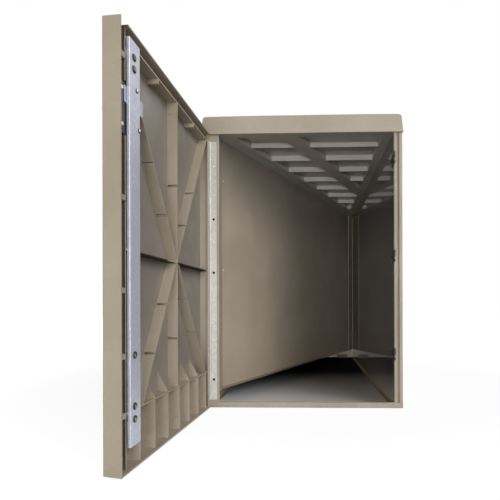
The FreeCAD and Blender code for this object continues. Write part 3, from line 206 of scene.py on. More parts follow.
@dataclass(frozen=True)
class PaintedRibShade:
    """Painted shade on the level rib of either door, both sides of the crossing: it stands for the rib's dark
    underside.

    Each pair is the middle and the half of a range. The heights are those of the rib below its top
    face. The distances are counted in plan from the hinge.
    """

    colour: str = "#2e2319"
    hinge_mm: tuple[float, float] = (440.0, 1044.0)
    height_mm: tuple[float, float] = (655.0, 4.5)
    reach_mm: tuple[float, float] = (425.0, 375.0)
    crossing_mm: tuple[float, float] = (469.0, 51.0)

    def within(self, tree: bpy.types.NodeTree, value: bpy.types.NodeSocket,
               part: tuple[float, float]) -> bpy.types.NodeSocket:
        """1 where a length in metres lies in a range in millimetres, and 0 elsewhere."""
        middle, half = part
        return add_node(tree, "ShaderNodeMath", {"operation": "COMPARE", 1: middle * MM, 2: half * MM},
                        {0: value}).outputs[0]

    def mask(self, tree: bpy.types.NodeTree, place: bpy.types.NodeSocket) -> bpy.types.NodeSocket:
        """Find the painted shade. Signs are dropped first, because the second end is the first one turned by half
        a turn.

        Args:
            tree: the material's tree.
            place: the place on the object.

        Returns:
            1 on the painted shade and 0 elsewhere.
        """
        folded = add_node(tree, "ShaderNodeVectorMath", {"operation": "ABSOLUTE"}, {0: place}).outputs["Vector"]
        height = add_node(tree, "ShaderNodeSeparateXYZ", None, {"Vector": folded}).outputs["Z"]
        level = add_node(tree, "ShaderNodeVectorMath", {"operation": "MULTIPLY", 1: (1.0, 1.0, 0.0)}, {0: folded})
        hinge = (self.hinge_mm[0] * MM, self.hinge_mm[1] * MM, 0.0)
        along = add_node(tree, "ShaderNodeVectorMath", {"operation": "DISTANCE", 1: hinge},
                         {0: level.outputs["Vector"]}).outputs["Value"]
        rib = add_node(tree, "ShaderNodeMath", {"operation": "MULTIPLY"},
                       {0: self.within(tree, height, self.height_mm), 1: self.within(tree, along, self.reach_mm)})
        clear = add_node(tree, "ShaderNodeMath", {"operation": "SUBTRACT", "use_clamp": True},
                         {0: rib.outputs[0], 1: self.within(tree, along, self.crossing_mm)})
        return clear.outputs[0]


@dataclass(frozen=True)
class MouldedPlastic(Finish):
    """Compression moulded polyester sheet: satin, faintly clouded, finely grained, with dust at its foot; the
    doors' paler foot is painted light.
    """

    grain_mm: float = 2.5
    cloud_mm: float = 260.0
    dust: str = "#8d8474"
    dust_and_light_top_mm: float = 70.0
    dust_and_light_share: float = 0.5
    fleck_share: float = 0.16
    smear_mm: float = 35.0
    polish_mm: float = 60.0
    polish_spread: float = 0.07
    shine: float = 0.5
    rib_shade: PaintedRibShade | None = None

    def material(self) -> bpy.types.Material:
        """Build the material.

        Clouds of two tones come from the flow of the charge in the mould. The fine grain is real at
        about 0.5 mm and drawn coarser so that it shows. Towards the foot a tone is mixed in, in smears:
        darker dust on most mouldings, and on the doors a paler painted light from the floor. Where a rib
        shade is given, the level rib is painted dark as shade.

        Returns:
            The material.
        """
        material, tree, place, output = self.start()
        clouds = self.spread(tree, self.noise(tree, place, self.cloud_mm, 3.0), 0.0, 1.0)
        fleck = self.spread(tree, self.noise(tree, place, self.grain_mm * 3, 2.0), 0.0, self.fleck_share)
        tone = self.mix(tree, clouds, linear(self.base), linear(self.shade))
        tone = self.mix(tree, fleck, tone, linear(self.dust))
        height = add_node(tree, "ShaderNodeSeparateXYZ", None, {"Vector": place}).outputs["Z"]
        # Towards the foot: dust on most mouldings; on the doors a paler tone, painted light from the floor.
        near_foot = self.spread(tree, height, self.dust_and_light_share, 0.0, 0.0, self.dust_and_light_top_mm * MM)
        smear = self.spread(tree, self.noise(tree, place, self.smear_mm, 4.0), 0.2, 1.0)
        dusty = add_node(tree, "ShaderNodeMath", {"operation": "MULTIPLY"}, {0: near_foot, 1: smear})
        tone = self.mix(tree, dusty.outputs[0], tone, linear(self.dust))
        # Painted shade: the level rib is darkened where its underside falls in shade.
        if self.rib_shade:
            tone = self.mix(tree, self.rib_shade.mask(tree, place), tone, linear(self.rib_shade.colour))
        rough = self.spread(tree, self.noise(tree, place, self.polish_mm, 4.0),
                            self.roughness - self.polish_spread, self.roughness + self.polish_spread)
        grain = self.noise(tree, place, self.grain_mm, 3.0)
        bump = add_node(tree, "ShaderNodeBump", {"Strength": 0.35, "Distance": 0.25 * MM}, {"Height": grain})
        shader = add_node(tree, "ShaderNodeBsdfPrincipled",
                          {"IOR": 1.5, "Specular IOR Level": self.shine},
                          {"Base Color": tone, "Roughness": rough, "Normal": bump.outputs["Normal"]})
        tree.links.new(shader.outputs["BSDF"], output.inputs["Surface"])
        return material


@dataclass(frozen=True)
class GlossyLiner(Finish):
    """Smooth side of the moulded sheet, as it left the polished mould: glossy, a little wavy, thinly scuffed."""

    scuff: str = "#c4bbac"
    scuff_share: float = 0.25
    wave_mm: float = 140.0
    coat: float = 0.5
    coat_roughness: float = 0.08
    wave_strength: float = 0.12
    unevenness: float = 0.045
    # Tone towards the foot: dust on the tan liner, a painted reflection of the floor on the dark liner.
    foot: str = "#a99a86"
    foot_top_mm: float = 300.0
    cloud_mm: float = 240.0
    scuff_width_mm: float = 3.0
    scuff_patch_mm: float = 190.0
    polish_mm: float = 90.0
    # Painted shadow of the lid: a grey tone mixed in towards the top of the wall.
    lid_shadow: str = ""
    lid_shadow_mm: tuple[float, float] = (900.0, 1300.0)
    lid_shadow_share: float = 0.6

    def material(self) -> bpy.types.Material:
        """Build the material.

        A clear gloss lies over a slightly duller sheet, and long waves bend its reflections where they
        have a strength. A few thin scuffs, about 1 mm wide and drawn wider so that they show, lie where
        things have rubbed along the wall. Towards its foot the wall takes the foot tone: on the tan liner
        dry dust that browns it, on the dark liner a pale painted reflection of the floor. Where a lid
        shadow tone is given, a painted shadow of the lid greys the wall towards the top.

        Returns:
            The material.
        """
        material, tree, place, output = self.start()
        clouds = self.spread(tree, self.noise(tree, place, self.cloud_mm, 2.0), 0.0, 1.0)
        tone = self.mix(tree, clouds, linear(self.base), linear(self.shade))
        if self.scuff_share > 0:
            rub = self.noise(tree, place, self.scuff_width_mm, 1.0, (0.03, 0.03, 1.0))
            patch = self.noise(tree, place, self.scuff_patch_mm, 1.0)
            rubbed = add_node(tree, "ShaderNodeMath", {"operation": "MULTIPLY"},
                              {0: self.spread(tree, rub, 0.0, 1.0, 0.66, 0.74),
                               1: self.spread(tree, patch, 0.0, self.scuff_share, 0.52, 0.62)})
            tone = self.mix(tree, rubbed.outputs[0], tone, linear(self.scuff))
        height = add_node(tree, "ShaderNodeSeparateXYZ", None, {"Vector": place}).outputs["Z"]
        near_foot = self.spread(tree, height, 1.0, 0.0, 0.0, self.foot_top_mm * MM)
        tone = self.mix(tree, near_foot, tone, linear(self.foot))
        # Painted shadow of the lid, greying the wall towards the top.
        if self.lid_shadow:
            low, high = self.lid_shadow_mm
            near_lid = self.spread(tree, height, 0.0, self.lid_shadow_share, low * MM, high * MM)
            tone = self.mix(tree, near_lid, tone, linear(self.lid_shadow))
        shader = add_node(tree, "ShaderNodeBsdfPrincipled",
                          {"IOR": 1.5, "Coat Weight": self.coat, "Coat Roughness": self.coat_roughness,
                           "Roughness": self.roughness}, {"Base Color": tone})
        if self.unevenness > 0:
            rough = self.spread(tree, self.noise(tree, place, self.polish_mm, 3.0),
                                self.roughness - self.unevenness, self.roughness + self.unevenness)
            tree.links.new(rough, shader.inputs["Roughness"])
        if self.wave_strength > 0:
            wave = self.noise(tree, place, self.wave_mm, 1.0)
            bump = add_node(tree, "ShaderNodeBump", {"Strength": self.wave_strength, "Distance": 0.8 * MM},
                            {"Height": wave})
            for socket in ("Normal", "Coat Normal"):
                tree.links.new(bump.outputs["Normal"], shader.inputs[socket])
        tree.links.new(shader.outputs["BSDF"], output.inputs["Surface"])
        return material


@dataclass(frozen=True)
class ZincedSteel(Finish):
    """Hot dipped galvanised sheet: pale bluish grey with spangles and faint handling marks."""

    spangle_mm: float = 9.0
    metallic: float = 0.5

    def material(self) -> bpy.types.Material:
        """Build the material: each spangle has its own tone and polish, and a low cloudiness runs over them.

        The zinc has weathered to a thin white skin, so that only part of it still shows as bare metal.

        Returns:
            The material.
        """
        material, tree, place, output = self.start()
        cells = add_node(tree, "ShaderNodeTexVoronoi", {"Scale": per_metre(self.spangle_mm)}, {"Vector": place})
        cell = add_node(tree, "ShaderNodeSeparateColor", None, {"Color": cells.outputs["Color"]}).outputs["Red"]
        clouds = self.spread(tree, self.noise(tree, place, 55.0, 4.0), 0.0, 0.6)
        tone = self.mix(tree, cell, linear(self.base), linear(self.shade))
        tone = self.mix(tree, clouds, tone, linear(self.shade))
        rough = self.spread(tree, cell, self.roughness - 0.06, self.roughness + 0.08, 0.0, 1.0)
        bump = add_node(tree, "ShaderNodeBump", {"Strength": 0.2, "Distance": 0.1 * MM}, {"Height": cell})
        shader = add_node(tree, "ShaderNodeBsdfPrincipled", {"Metallic": self.metallic},
                          {"Base Color": tone, "Roughness": rough, "Normal": bump.outputs["Normal"]})
        tree.links.new(shader.outputs["BSDF"], output.inputs["Surface"])
        return material


@dataclass(frozen=True)
class PlatedMetal(Finish):
    """Plated or turned metal: bright, with fine lines along its length and a few dull patches."""

    line_mm: float = 1.2
    lines: Axis = Axis.Z

    def material(self) -> bpy.types.Material:
        """Build the material: streaks in tone and polish, drawn a little coarser than real so that they show.

        Returns:
            The material.
        """
        material, tree, place, output = self.start()
        streak = self.noise(tree, place, self.line_mm, 2.0, self.lines.value)
        dull = self.spread(tree, self.noise(tree, place, 14.0, 3.0), 0.0, 1.0)
        tone = self.mix(tree, dull, linear(self.base), linear(self.shade))
        rough = self.spread(tree, streak, self.roughness - 0.08, self.roughness + 0.1)
        bump = add_node(tree, "ShaderNodeBump", {"Strength": 0.15, "Distance": 0.05 * MM}, {"Height": streak})
        shader = add_node(tree, "ShaderNodeBsdfPrincipled", {"Metallic": 1.0},
                          {"Base Color": tone, "Roughness": rough, "Normal": bump.outputs["Normal"]})
        tree.links.new(shader.outputs["BSDF"], output.inputs["Surface"])
        return material


@dataclass(frozen=True)
class PaintedSteel(Finish):
    """Powder coated steel: an even colour with a fine orange peel and dusty flats."""

    peel_mm: float = 3.0

    def material(self) -> bpy.types.Material:
        """Build the material: orange peel in the gloss, and pale dust in patches.

        Returns:
            The material.
        """
        material, tree, place, output = self.start()
        dust = self.spread(tree, self.noise(tree, place, 40.0, 4.0), 0.0, 0.7)
        tone = self.mix(tree, dust, linear(self.base), linear(self.shade))
        rough = self.spread(tree, self.noise(tree, place, 25.0, 3.0), self.roughness - 0.05,
                            self.roughness + 0.12)
        peel = self.noise(tree, place, self.peel_mm, 1.0)
        bump = add_node(tree, "ShaderNodeBump", {"Strength": 0.25, "Distance": 0.1 * MM}, {"Height": peel})
        shader = add_node(tree, "ShaderNodeBsdfPrincipled", {"IOR": 1.5},
                          {"Base Color": tone, "Roughness": rough, "Normal": bump.outputs["Normal"]})
        tree.links.new(shader.outputs["BSDF"], output.inputs["Surface"])
        return material


ROOF_PLASTIC = MouldedPlastic("moulded_roof_plastic", "roof_plastic", "#b5aa9b", "#ab9f8e", 0.5)
WALL_PLASTIC = MouldedPlastic("moulded_wall_plastic", "wall_plastic", "#b0a594", "#a39682", 0.45)
# The door's paler foot tone is painted light from the floor; its level rib takes a painted shade.
DOOR_PLASTIC = MouldedPlastic("moulded_door_plastic", "door_plastic", "#b3a794", "#a69a85", 0.48,
                              dust="#b9aea0", dust_and_light_top_mm=280.0, rib_shade=PaintedRibShade())
DOOR_FACE = MouldedPlastic("moulded_door_face", "door_plastic", "#a59a86", "#9b907b", 0.5)
# A darker copy for the skin between the ribs: painted shade in the pockets; its paler foot is painted light from
# the floor.
SHADED_DOOR_SKIN = MouldedPlastic("shaded_door_skin", "door_plastic", "#968d84", "#8b8279", 0.42,
                           dust="#b0a599", dust_and_light_top_mm=280.0)
# Painted shade on the side of the lock rib, in the gap beside the strap.
LOCK_RECESS_SHADE = MouldedPlastic("shaded_lock_recess", "door_plastic", "#5c4f41", "#4f4337", 0.8, shine=0.1)
# Painted shade on the faces that look down, at the level rib and in the drain slots.
DOOR_UNDERSIDE_SHADE = MouldedPlastic("shaded_door_undersides", "door_plastic", "#3a2c20", "#2e2319", 0.8, shine=0.05)
# Its lid shadow tone is a painted shadow of the lid on the partition's top.
TAN_LINER = GlossyLiner("glossy_tan_liner", "liner_plastic", "#bdaf9d", "#b3a592", 0.34, lid_shadow="#55534f")
CEILING_LINER = GlossyLiner("satin_grey_liner", "liner_plastic", "#b0aca4", "#a5a098", 0.4,
                            scuff_share=0.0, coat=0.2)
# Its pale foot tone is a painted reflection of the floor.
DARK_LINER = GlossyLiner("glossy_dark_liner", "liner_plastic", "#53575f", "#4c4f56", 0.26,
                         scuff_share=0.0, coat=1.0, coat_roughness=0.03, wave_strength=0.0, unevenness=0.0,
                         foot="#c9bfb0", foot_top_mm=190.0)
GALVANISED = ZincedSteel("galvanised_steel_sheet", "galvanised_steel", "#dcdfec", "#ccd0de", 0.46, metallic=0.35)
DULL_ZINC = ZincedSteel("dull_galvanised_steel", "galvanised_steel", "#6c6a66", "#575552", 0.6)
HINGE_ZINC = ZincedSteel("galvanised_hinge_leaf", "galvanised_steel", "#cccac4", "#bdbbb5", 0.5)
BRIGHT_STEEL = PlatedMetal("bright_zinc_plate", "bright_steel", "#b9bfc6", "#9aa2ac", 0.3)
SCREW_ZINC = PlatedMetal("zinc_plated_screws", "zinc_screws", "#dadad8", "#b4b3b0", 0.3)
# Painted shade: blackened heads that look like empty screw holes.
SCREW_HOLE_SHADE = PlatedMetal("shaded_screw_holes", "zinc_screws", "#2e2b28", "#1f1d1b", 0.5)
YELLOW_ZINC = PlatedMetal("yellow_zinc_bolts", "brass_bolts", "#9a976a", "#66633f", 0.25)
# Painted shade round the rims of the bolt and rivet heads.
HEAD_RIM_SHADE = PlatedMetal("shaded_head_rims", "zinc_screws", "#403d2c", "#2a281e", 0.5)
BRASS = PlatedMetal("turned_brass", "brass_plug", "#c8a860", "#a58845", 0.28)
CAST_CHROME = PlatedMetal("satin_chrome_casting", "cast_handle", "#bfc0c2", "#a3a4a6", 0.27, 2.0, Axis.X)
BLACK_PAINT = PaintedSteel("black_painted_steel", "black_steel", "#2a2a2c", "#474440", 0.42)
TAN_PAINT = PaintedSteel("tan_powder_coat", "tan_painted_steel", "#a2957f", "#8f836f", 0.45)


class Paintbox:
    """Makes each finish's material once."""

    def __init__(self) -> None:
        """Start with no materials."""
        self.made: dict[str, bpy.types.Material] = {}

    def get(self, finish: Finish) -> bpy.types.Material:
        """Find a finish's material, and make it on first use.

        Args:
            finish: the finish.

        Returns:
            Its material.
        """
        if finish.name not in self.made:
            self.made[finish.name] = finish.material()
        return self.made[finish.name]


PAINTS = Paintbox()


def dress(piece: bpy.types.Object, finish: Finish) -> None:
    """Give a piece a finish.

    Args:
        piece: a CAD node or a new piece.
        finish: its finish.
    """
    piece.data.materials.clear()
    piece.data.materials.append(PAINTS.get(finish))
    piece.data.polygons.foreach_set("material_index", np.zeros(len(piece.data.polygons), np.int32))
    log.info("dressed %s: %s", piece.name, finish.name)


def body_of(node: str) -> str:
    """Name of the body that a CAD node rides on."""
    return frame["nodes"][node]["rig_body"]


def corners_of(node: str) -> np.ndarray:
    """Read the vertices of a CAD node.

    Args:
        node: name of the CAD node.

    Returns:
        A row of x, y and z for each vertex, in metres.
    """
    mesh = frame["nodes"][node].data
    flat = np.empty(len(mesh.vertices) * 3)
    mesh.vertices.foreach_get("co", flat)
    return flat.reshape(-1, 3)


@dataclass
class SoftenedCopy:
    """A CAD node's merged copy whose hard edges are rounded, as a moulding's or a bent sheet's are."""

    node: str
    finish: Finish
    radius_mm: float = 1.2
    segments: int = 2
    merge_mm: float = 0.02
    sharp_degrees: float = 32.0
    patches: tuple[tuple[Finish, FacePick], ...] = ()

    def build(self) -> bpy.types.Object:
        """Copy, merge, join coplanar faces and bevel. Each patch gives its finish to the faces that it picks.

        Returns:
            The new piece, which stands for the node.
        """
        source = frame["nodes"][self.node]
        mesh = source.data.copy()
        shape = bmesh.new()
        shape.from_mesh(mesh)
        bmesh.ops.remove_doubles(shape, verts=shape.verts, dist=self.merge_mm * MM)
        bmesh.ops.dissolve_limit(shape, angle_limit=math.radians(1.0), verts=shape.verts, edges=shape.edges)
        for face in shape.faces:
            face.smooth = True
        shape.to_mesh(mesh)
        shape.free()
        piece = bpy.data.objects.new(self.node + "_shown", mesh)
        bpy.context.scene.collection.objects.link(piece)
        bevel = piece.modifiers.new("rounded edges", "BEVEL")
        bevel.width = self.radius_mm * MM
        bevel.segments = self.segments
        bevel.limit_method = "ANGLE"
        bevel.angle_limit = math.radians(self.sharp_degrees)
        bevel.harden_normals = True
        bevel.use_clamp_overlap = True
        flat = piece.modifiers.new("flat faces stay flat", "WEIGHTED_NORMAL")
        flat.mode = "FACE_AREA"
        flat.weight = 100
        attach(piece, body_of(self.node))
        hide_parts(self.node)
        dress(piece, self.finish)
        indices = np.zeros(len(mesh.polygons), np.int32)
        for number, (finish, pick) in enumerate(self.patches, 1):
            mesh.materials.append(PAINTS.get(finish))
            indices[pick(face_vectors(mesh, "center"), face_vectors(mesh, "normal"))] = number
        mesh.polygons.foreach_set("material_index", indices)
        log.info("softened %s: %d faces", self.node, len(mesh.polygons))
        return piece


def face_vectors(mesh: bpy.types.Mesh, what: str) -> np.ndarray:
    """Read one vector of each face.

    Args:
        mesh: the mesh.
        what: "center" or "normal".

    Returns:
        A row of x, y and z for each face.
    """
    flat = np.empty(len(mesh.polygons) * 3)
    mesh.polygons.foreach_get(what, flat)
    return flat.reshape(-1, 3)


def from_free_edge(out: np.ndarray, centres: np.ndarray) -> np.ndarray:
    """Distance of each face from a door's free edge, towards its hinge."""
    along = centres @ towards_hinge(out)
    return along - along.min()


def towards_hinge(out: np.ndarray) -> np.ndarray:
    """Level direction along a door to its hinge, from the way that its outside faces."""
    return np.cross(out, (0.0, 0.0, 1.0))


def sheet_between_ribs(out: np.ndarray, depth_mm: float = 12.0) -> FacePick:
    """Make a rule for the faces that look inward and lie near a door's outside: the skin between the ribs, which
    is painted darker as shade.

    Args:
        out: the way that the door's outside faces.
        depth_mm: how far in from its outermost face they may lie.

    Returns:
        The rule.
    """
    def pick(centres: np.ndarray, normals: np.ndarray) -> np.ndarray:
        """Which faces they are."""
        along = centres @ out
        return (normals @ out < -0.99) & (along > along.max() - depth_mm * MM)
    return pick


def lock_recess(out: np.ndarray, near_mm: float = 30.0, far_mm: float = 100.0) -> FacePick:
    """Make a rule for the side of the lock's upright rib, which looks to a door's free edge, and is painted dark
    as shade.

    Args:
        out: the way that the door's outside faces.
        near_mm: least distance from the free edge.
        far_mm: greatest distance from the free edge.

    Returns:
        The rule.
    """
    def pick(centres: np.ndarray, normals: np.ndarray) -> np.ndarray:
        """Which faces they are."""
        from_edge = from_free_edge(out, centres)
        return (normals @ towards_hinge(out) < -0.9) & (from_edge > near_mm * MM) & (from_edge < far_mm * MM)
    return pick


def outer_side(out: np.ndarray, rim_mm: float = 5.0) -> FacePick:
    """Make a rule for the faces that look to a door's outside, and for its free edge.

    Args:
        out: the way that the door's outside faces.
        rim_mm: depth of the free edge.

    Returns:
        The rule.
    """
    def pick(centres: np.ndarray, normals: np.ndarray) -> np.ndarray:
        """Which faces they are."""
        rim = (normals @ towards_hinge(out) < -0.5) & (from_free_edge(out, centres) < rim_mm * MM)
        return (normals @ out > 0.5) | rim
    return pick


def undersides(centres: np.ndarray, normals: np.ndarray) -> np.ndarray:
    """Picks a door's faces that look down, at the level rib and in the drain slots, which are painted dark as
    shade.
    """
    lowest, highest = 300.0 * MM, 1100.0 * MM
    return (normals[:, 2] < -0.9) & (centres[:, 2] > lowest) & (centres[:, 2] < highest)


def nose_and_flange(centres: np.ndarray, normals: np.ndarray) -> np.ndarray:
    """Picks the faces of an inner panel that don't belong to its flat wall: its noses and its foot."""
    foot_top, wall_half_length = 20.0 * MM, 1005.0 * MM
    return (abs(normals[:, 0]) < 0.98) | (centres[:, 2] < foot_top) | (abs(centres[:, 1]) > wall_half_length)


@dataclass(frozen=True)
class Grid:
    """Surface on a grid of rows and columns of points, closed round its columns."""

    points: np.ndarray

    def faces(self, offset: int) -> np.ndarray:
        """Make the quads between neighbouring rows and columns.

        Args:
            offset: number of the first point; the others follow row by row.

        Returns:
            Four point numbers for each quad.
        """
        rows, columns = self.points.shape[:2]
        row, column = np.meshgrid(np.arange(rows - 1), np.arange(columns), indexing="ij")
        after = (column + 1) % columns
        quads = np.stack([row * columns + column, row * columns + after, (row + 1) * columns + after,
                          (row + 1) * columns + column], axis=-1)
        return quads.reshape(-1, 4) + offset


def surface_piece(name: str, grids: Sequence[Grid], body: str, finish: Finish,
                  nodes: Sequence[str]) -> bpy.types.Object:
    """Put one or more grids into one piece.

    Args:
        name: the piece's name.
        grids: surfaces, in place in the row frame.
        body: body that it rides on.
        finish: its finish.
        nodes: CAD nodes that it stands for.

    Returns:
        The piece, with merged seams and poles and faces outward.
    """
    offsets = np.cumsum([0] + [grid.points[..., 0].size for grid in grids])
    points = np.concatenate([grid.points.reshape(-1, 3) for grid in grids])
    faces = np.concatenate([grid.faces(int(offset)) for grid, offset in zip(grids, offsets)])
    mesh = bpy.data.meshes.new(name)
    mesh.from_pydata(points, [], faces)
    shape = bmesh.new()
    shape.from_mesh(mesh)
    bmesh.ops.remove_doubles(shape, verts=shape.verts, dist=0.01 * MM)
    bmesh.ops.dissolve_degenerate(shape, edges=shape.edges, dist=0.001 * MM)
    bmesh.ops.recalc_face_normals(shape, faces=shape.faces)
    for face in shape.faces:
        face.smooth = True
    for edge in shape.edges:
        edge.smooth = len(edge.link_faces) == 2 and edge.calc_face_angle(0.0) < math.radians(40)
    shape.to_mesh(mesh)
    shape.free()
    piece = bpy.data.objects.new(name, mesh)
    bpy.context.scene.collection.objects.link(piece)
    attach(piece, body)
    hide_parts(*nodes)
    dress(piece, finish)
    log.info("built %s: %d faces", name, len(mesh.polygons))
    return piece


@dataclass(frozen=True)
class Seat:
    """Place and direction of a turned part: the centre of its seat and the way its head points."""

    centre: np.ndarray
    out: np.ndarray

    def turned(self, profile: np.ndarray, columns: int, recess: float = 0.0, reach: float = 0.0) -> Grid:
        """Turn a profile round the seat's axis.

        A point is the centre plus its height along the axis plus its radius round it. Where recess is
        above 0, a cross of that depth and that reach is sunk into the rows near the axis.

        Args:
            profile: rows of radius and height, from the pole outward, in metres.
            columns: points round the axis.
            recess: depth of the cross, in metres.
            reach: half length of the cross's arms, in metres.

        Returns:
            The surface.
        """
        side = np.cross(self.out, (0.0, 0.0, 1.0) if abs(self.out[2]) < 0.9 else (1.0, 0.0, 0.0))
        side = side / np.linalg.norm(side)
        up = np.cross(self.out, side)
        turn = np.linspace(0.0, 2 * math.pi, columns, endpoint=False)
        radius, height = profile[:, :1], np.repeat(profile[:, 1:2], columns, axis=1)
        if recess > 0:
            across = np.minimum(abs(radius * np.cos(turn)), abs(radius * np.sin(turn)))
            along = np.maximum(abs(radius * np.cos(turn)), abs(radius * np.sin(turn)))
            inside = np.clip((reach * 0.34 - across) / (reach * 0.2), 0, 1) * (along < reach)
            height = height - recess * inside * (profile[:, 1:2] > 0)
        points = (self.centre + self.out * height[..., None]
                  + radius[..., None] * (side * np.cos(turn)[:, None] + up * np.sin(turn)[:, None]))
        return Grid(points)


def clusters(node: str, count: int) -> list[np.ndarray]:
    """Split a node of separate fasteners, spaced along Z, into its solids.

    Args:
        node: name of the CAD node.
        count: how many different heights it has.

    Returns:
        The vertices of each, from the lowest up: split at the count - 1 widest gaps in height.
    """
    points = corners_of(node)
    points = points[np.argsort(points[:, 2])]
    gaps = np.diff(points[:, 2])
    cuts = np.sort(np.argsort(gaps)[len(gaps) - count + 1:]) + 1
    return np.split(points, cuts)


@dataclass
class RoundHeads:
    """Round headed fasteners at the places of a CAD node's solids, with a better head."""

    node: str
    count: int
    out: Sequence[float]
    finish: Finish
    head_radius_mm: float = 6.0
    head_height_mm: float = 2.4
    shank_radius_mm: float = 2.4
    shank_mm: float = 8.0
    cross: bool = True
    dark: tuple[int, ...] = ()
    ring_mm: float = math.inf
    ring: Finish | None = None
    lift_mm: float = 0.0

    def profile(self) -> np.ndarray:
        """Draw a head of elliptic section on a short straight rim, then the shank down to its closed end.

        Returns:
            Rows of radius and height, in metres.
        """
        turn = np.linspace(0.0, math.pi / 2, 8)
        radius, height = self.head_radius_mm, self.head_height_mm
        rim = 0.18 * height
        dome = np.stack([radius * np.sin(turn), rim + (height - rim) * np.cos(turn)], axis=1)
        rest = np.array([[radius, 0.0], [self.shank_radius_mm, 0.0], [self.shank_radius_mm, -self.shank_mm],
                         [0.0, -self.shank_mm]])
        return np.concatenate([dome, rest]) * MM

    def build(self) -> bpy.types.Object:
        """Make every fastener of the node in one piece.

        Those numbered in dark, from the foot, are blackened: painted shade, so that they look like empty
        holes. Round each axis, what lies beyond ring_mm takes the ring finish, a painted shade round the
        rim of a head. A head stands lift_mm higher than its CAD one.

        Returns:
            The piece.
        """
        out = np.array(self.out, float)
        seats = []
        for points in clusters(self.node, self.count):
            along = points @ out
            head = points[along > along.max() - 0.3 * self.head_height_mm * MM]
            centre = (head.max(0) + head.min(0)) / 2
            foot = along.max() - (self.head_height_mm - self.lift_mm) * MM
            seats.append(Seat(centre + out * (foot - centre @ out), out))
        recess = 0.55 * self.head_height_mm * MM if self.cross else 0.0
        grids = [seat.turned(self.profile(), 28, recess, 0.5 * self.head_radius_mm * MM) for seat in seats]
        piece = surface_piece(self.node + "_shown", grids, body_of(self.node), self.finish, [self.node])
        for finish in (SCREW_HOLE_SHADE, self.ring or self.finish):
            piece.data.materials.append(PAINTS.get(finish))
        centres = face_vectors(piece.data, "center")
        places = np.array([seat.centre for seat in seats])
        nearest = np.linalg.norm(centres[:, None] - places, axis=2).argmin(axis=1)
        radius = np.linalg.norm(np.cross(centres - places[nearest], out), axis=1)
        indices = np.where(np.isin(nearest, self.dark), 1, np.where(radius > self.ring_mm * MM, 2, 0))
        piece.data.polygons.foreach_set("material_index", indices.astype(np.int32))
        return piece


@dataclass
class THandle:
    """Cast T handle: a waisted grip that swells to its ends, on a round hub and a spindle."""

    end: str
    waist: float = 0.8
    grip_square: float = 3.2
    grip_depth_mm: float = 12.0
    grip_width_mm: float = 20.0
    hub_radius_mm: float = 13.0
    hub_height_mm: float = 5.0
    spindle_radius_mm: float = 8.0

    def build(self) -> bpy.types.Object:
        """Make the handle in the place of the CAD one.

        The grip's section is a superellipse whose half height and half thickness follow the place s
        from -1 to 1 along the grip: narrow in the middle, full at about 0.75, and closed to a round
        tip by (1 - |s| ** 8) ** 0.5. Hub and spindle are turned profiles.

        Returns:
            The piece.
        """
        node = self.end + "_handle"
        points = corners_of(node)
        out = np.array(outward(self.end))
        side = np.array([-out[1], out[0], 0.0])
        rise = np.array([0.0, 0.0, 1.0])
        tip, base = (points @ out).max(), (points @ out).min()
        middle = (out * tip + side * ((points @ side).max() + (points @ side).min()) / 2
                  + rise * (points[:, 2].max() + points[:, 2].min()) / 2)
        half_length = np.ptp(points[:, 2]) / 2
        grip_depth, grip_half = self.grip_depth_mm * MM, self.grip_width_mm * MM / 2
        centre = middle - out * grip_depth / 2
        place = np.sin(np.linspace(-math.pi / 2, math.pi / 2, 41))
        closing = np.sqrt(np.clip(1 - np.abs(place) ** 8, 0, 1))
        swell = self.waist + (1 - self.waist) * np.clip(np.abs(place) / 0.75, 0, 1) ** 2
        turn = np.linspace(0, 2 * math.pi, 36, endpoint=False)
        power = 2 / self.grip_square
        level = np.sign(np.cos(turn)) * np.abs(np.cos(turn)) ** power
        wide = np.sign(np.sin(turn)) * np.abs(np.sin(turn)) ** power
        across = (closing * swell * grip_half)[:, None] * wide
        depth = (closing * (0.5 + 0.5 * swell) * grip_depth / 2)[:, None] * level
        grip = (centre + (place * half_length)[:, None, None] * rise + depth[..., None] * out
                + across[..., None] * side)
        radius, length = self.hub_radius_mm * MM, tip - base
        hub_end = (self.grip_depth_mm + self.hub_height_mm) * MM
        hub = np.array([[0.0, 0.0], [radius - 2.5 * MM, 0.0], [radius - 0.8 * MM, -0.6 * MM],
                        [radius, -2.2 * MM], [radius, -hub_end], [self.spindle_radius_mm * MM, -hub_end],
                        [self.spindle_radius_mm * MM, -length], [0.0, -length]])
        return surface_piece(node + "_shown", [Grid(grip), Seat(middle, out).turned(hub, 48)], body_of(node),
                             CAST_CHROME, [node])


def outward(end: str) -> tuple[float, float, float]:
    """Find the way that a door's outside faces at rest, which is that of its handle's axis.

    Args:
        end: "front" or "rear".

    Returns:
        The direction, of length 1.
    """
    joint = next(j for j in frame["joints"] if j["name"] == end + "_handle_turn")
    return tuple(Vector(joint["axis"]).normalized())


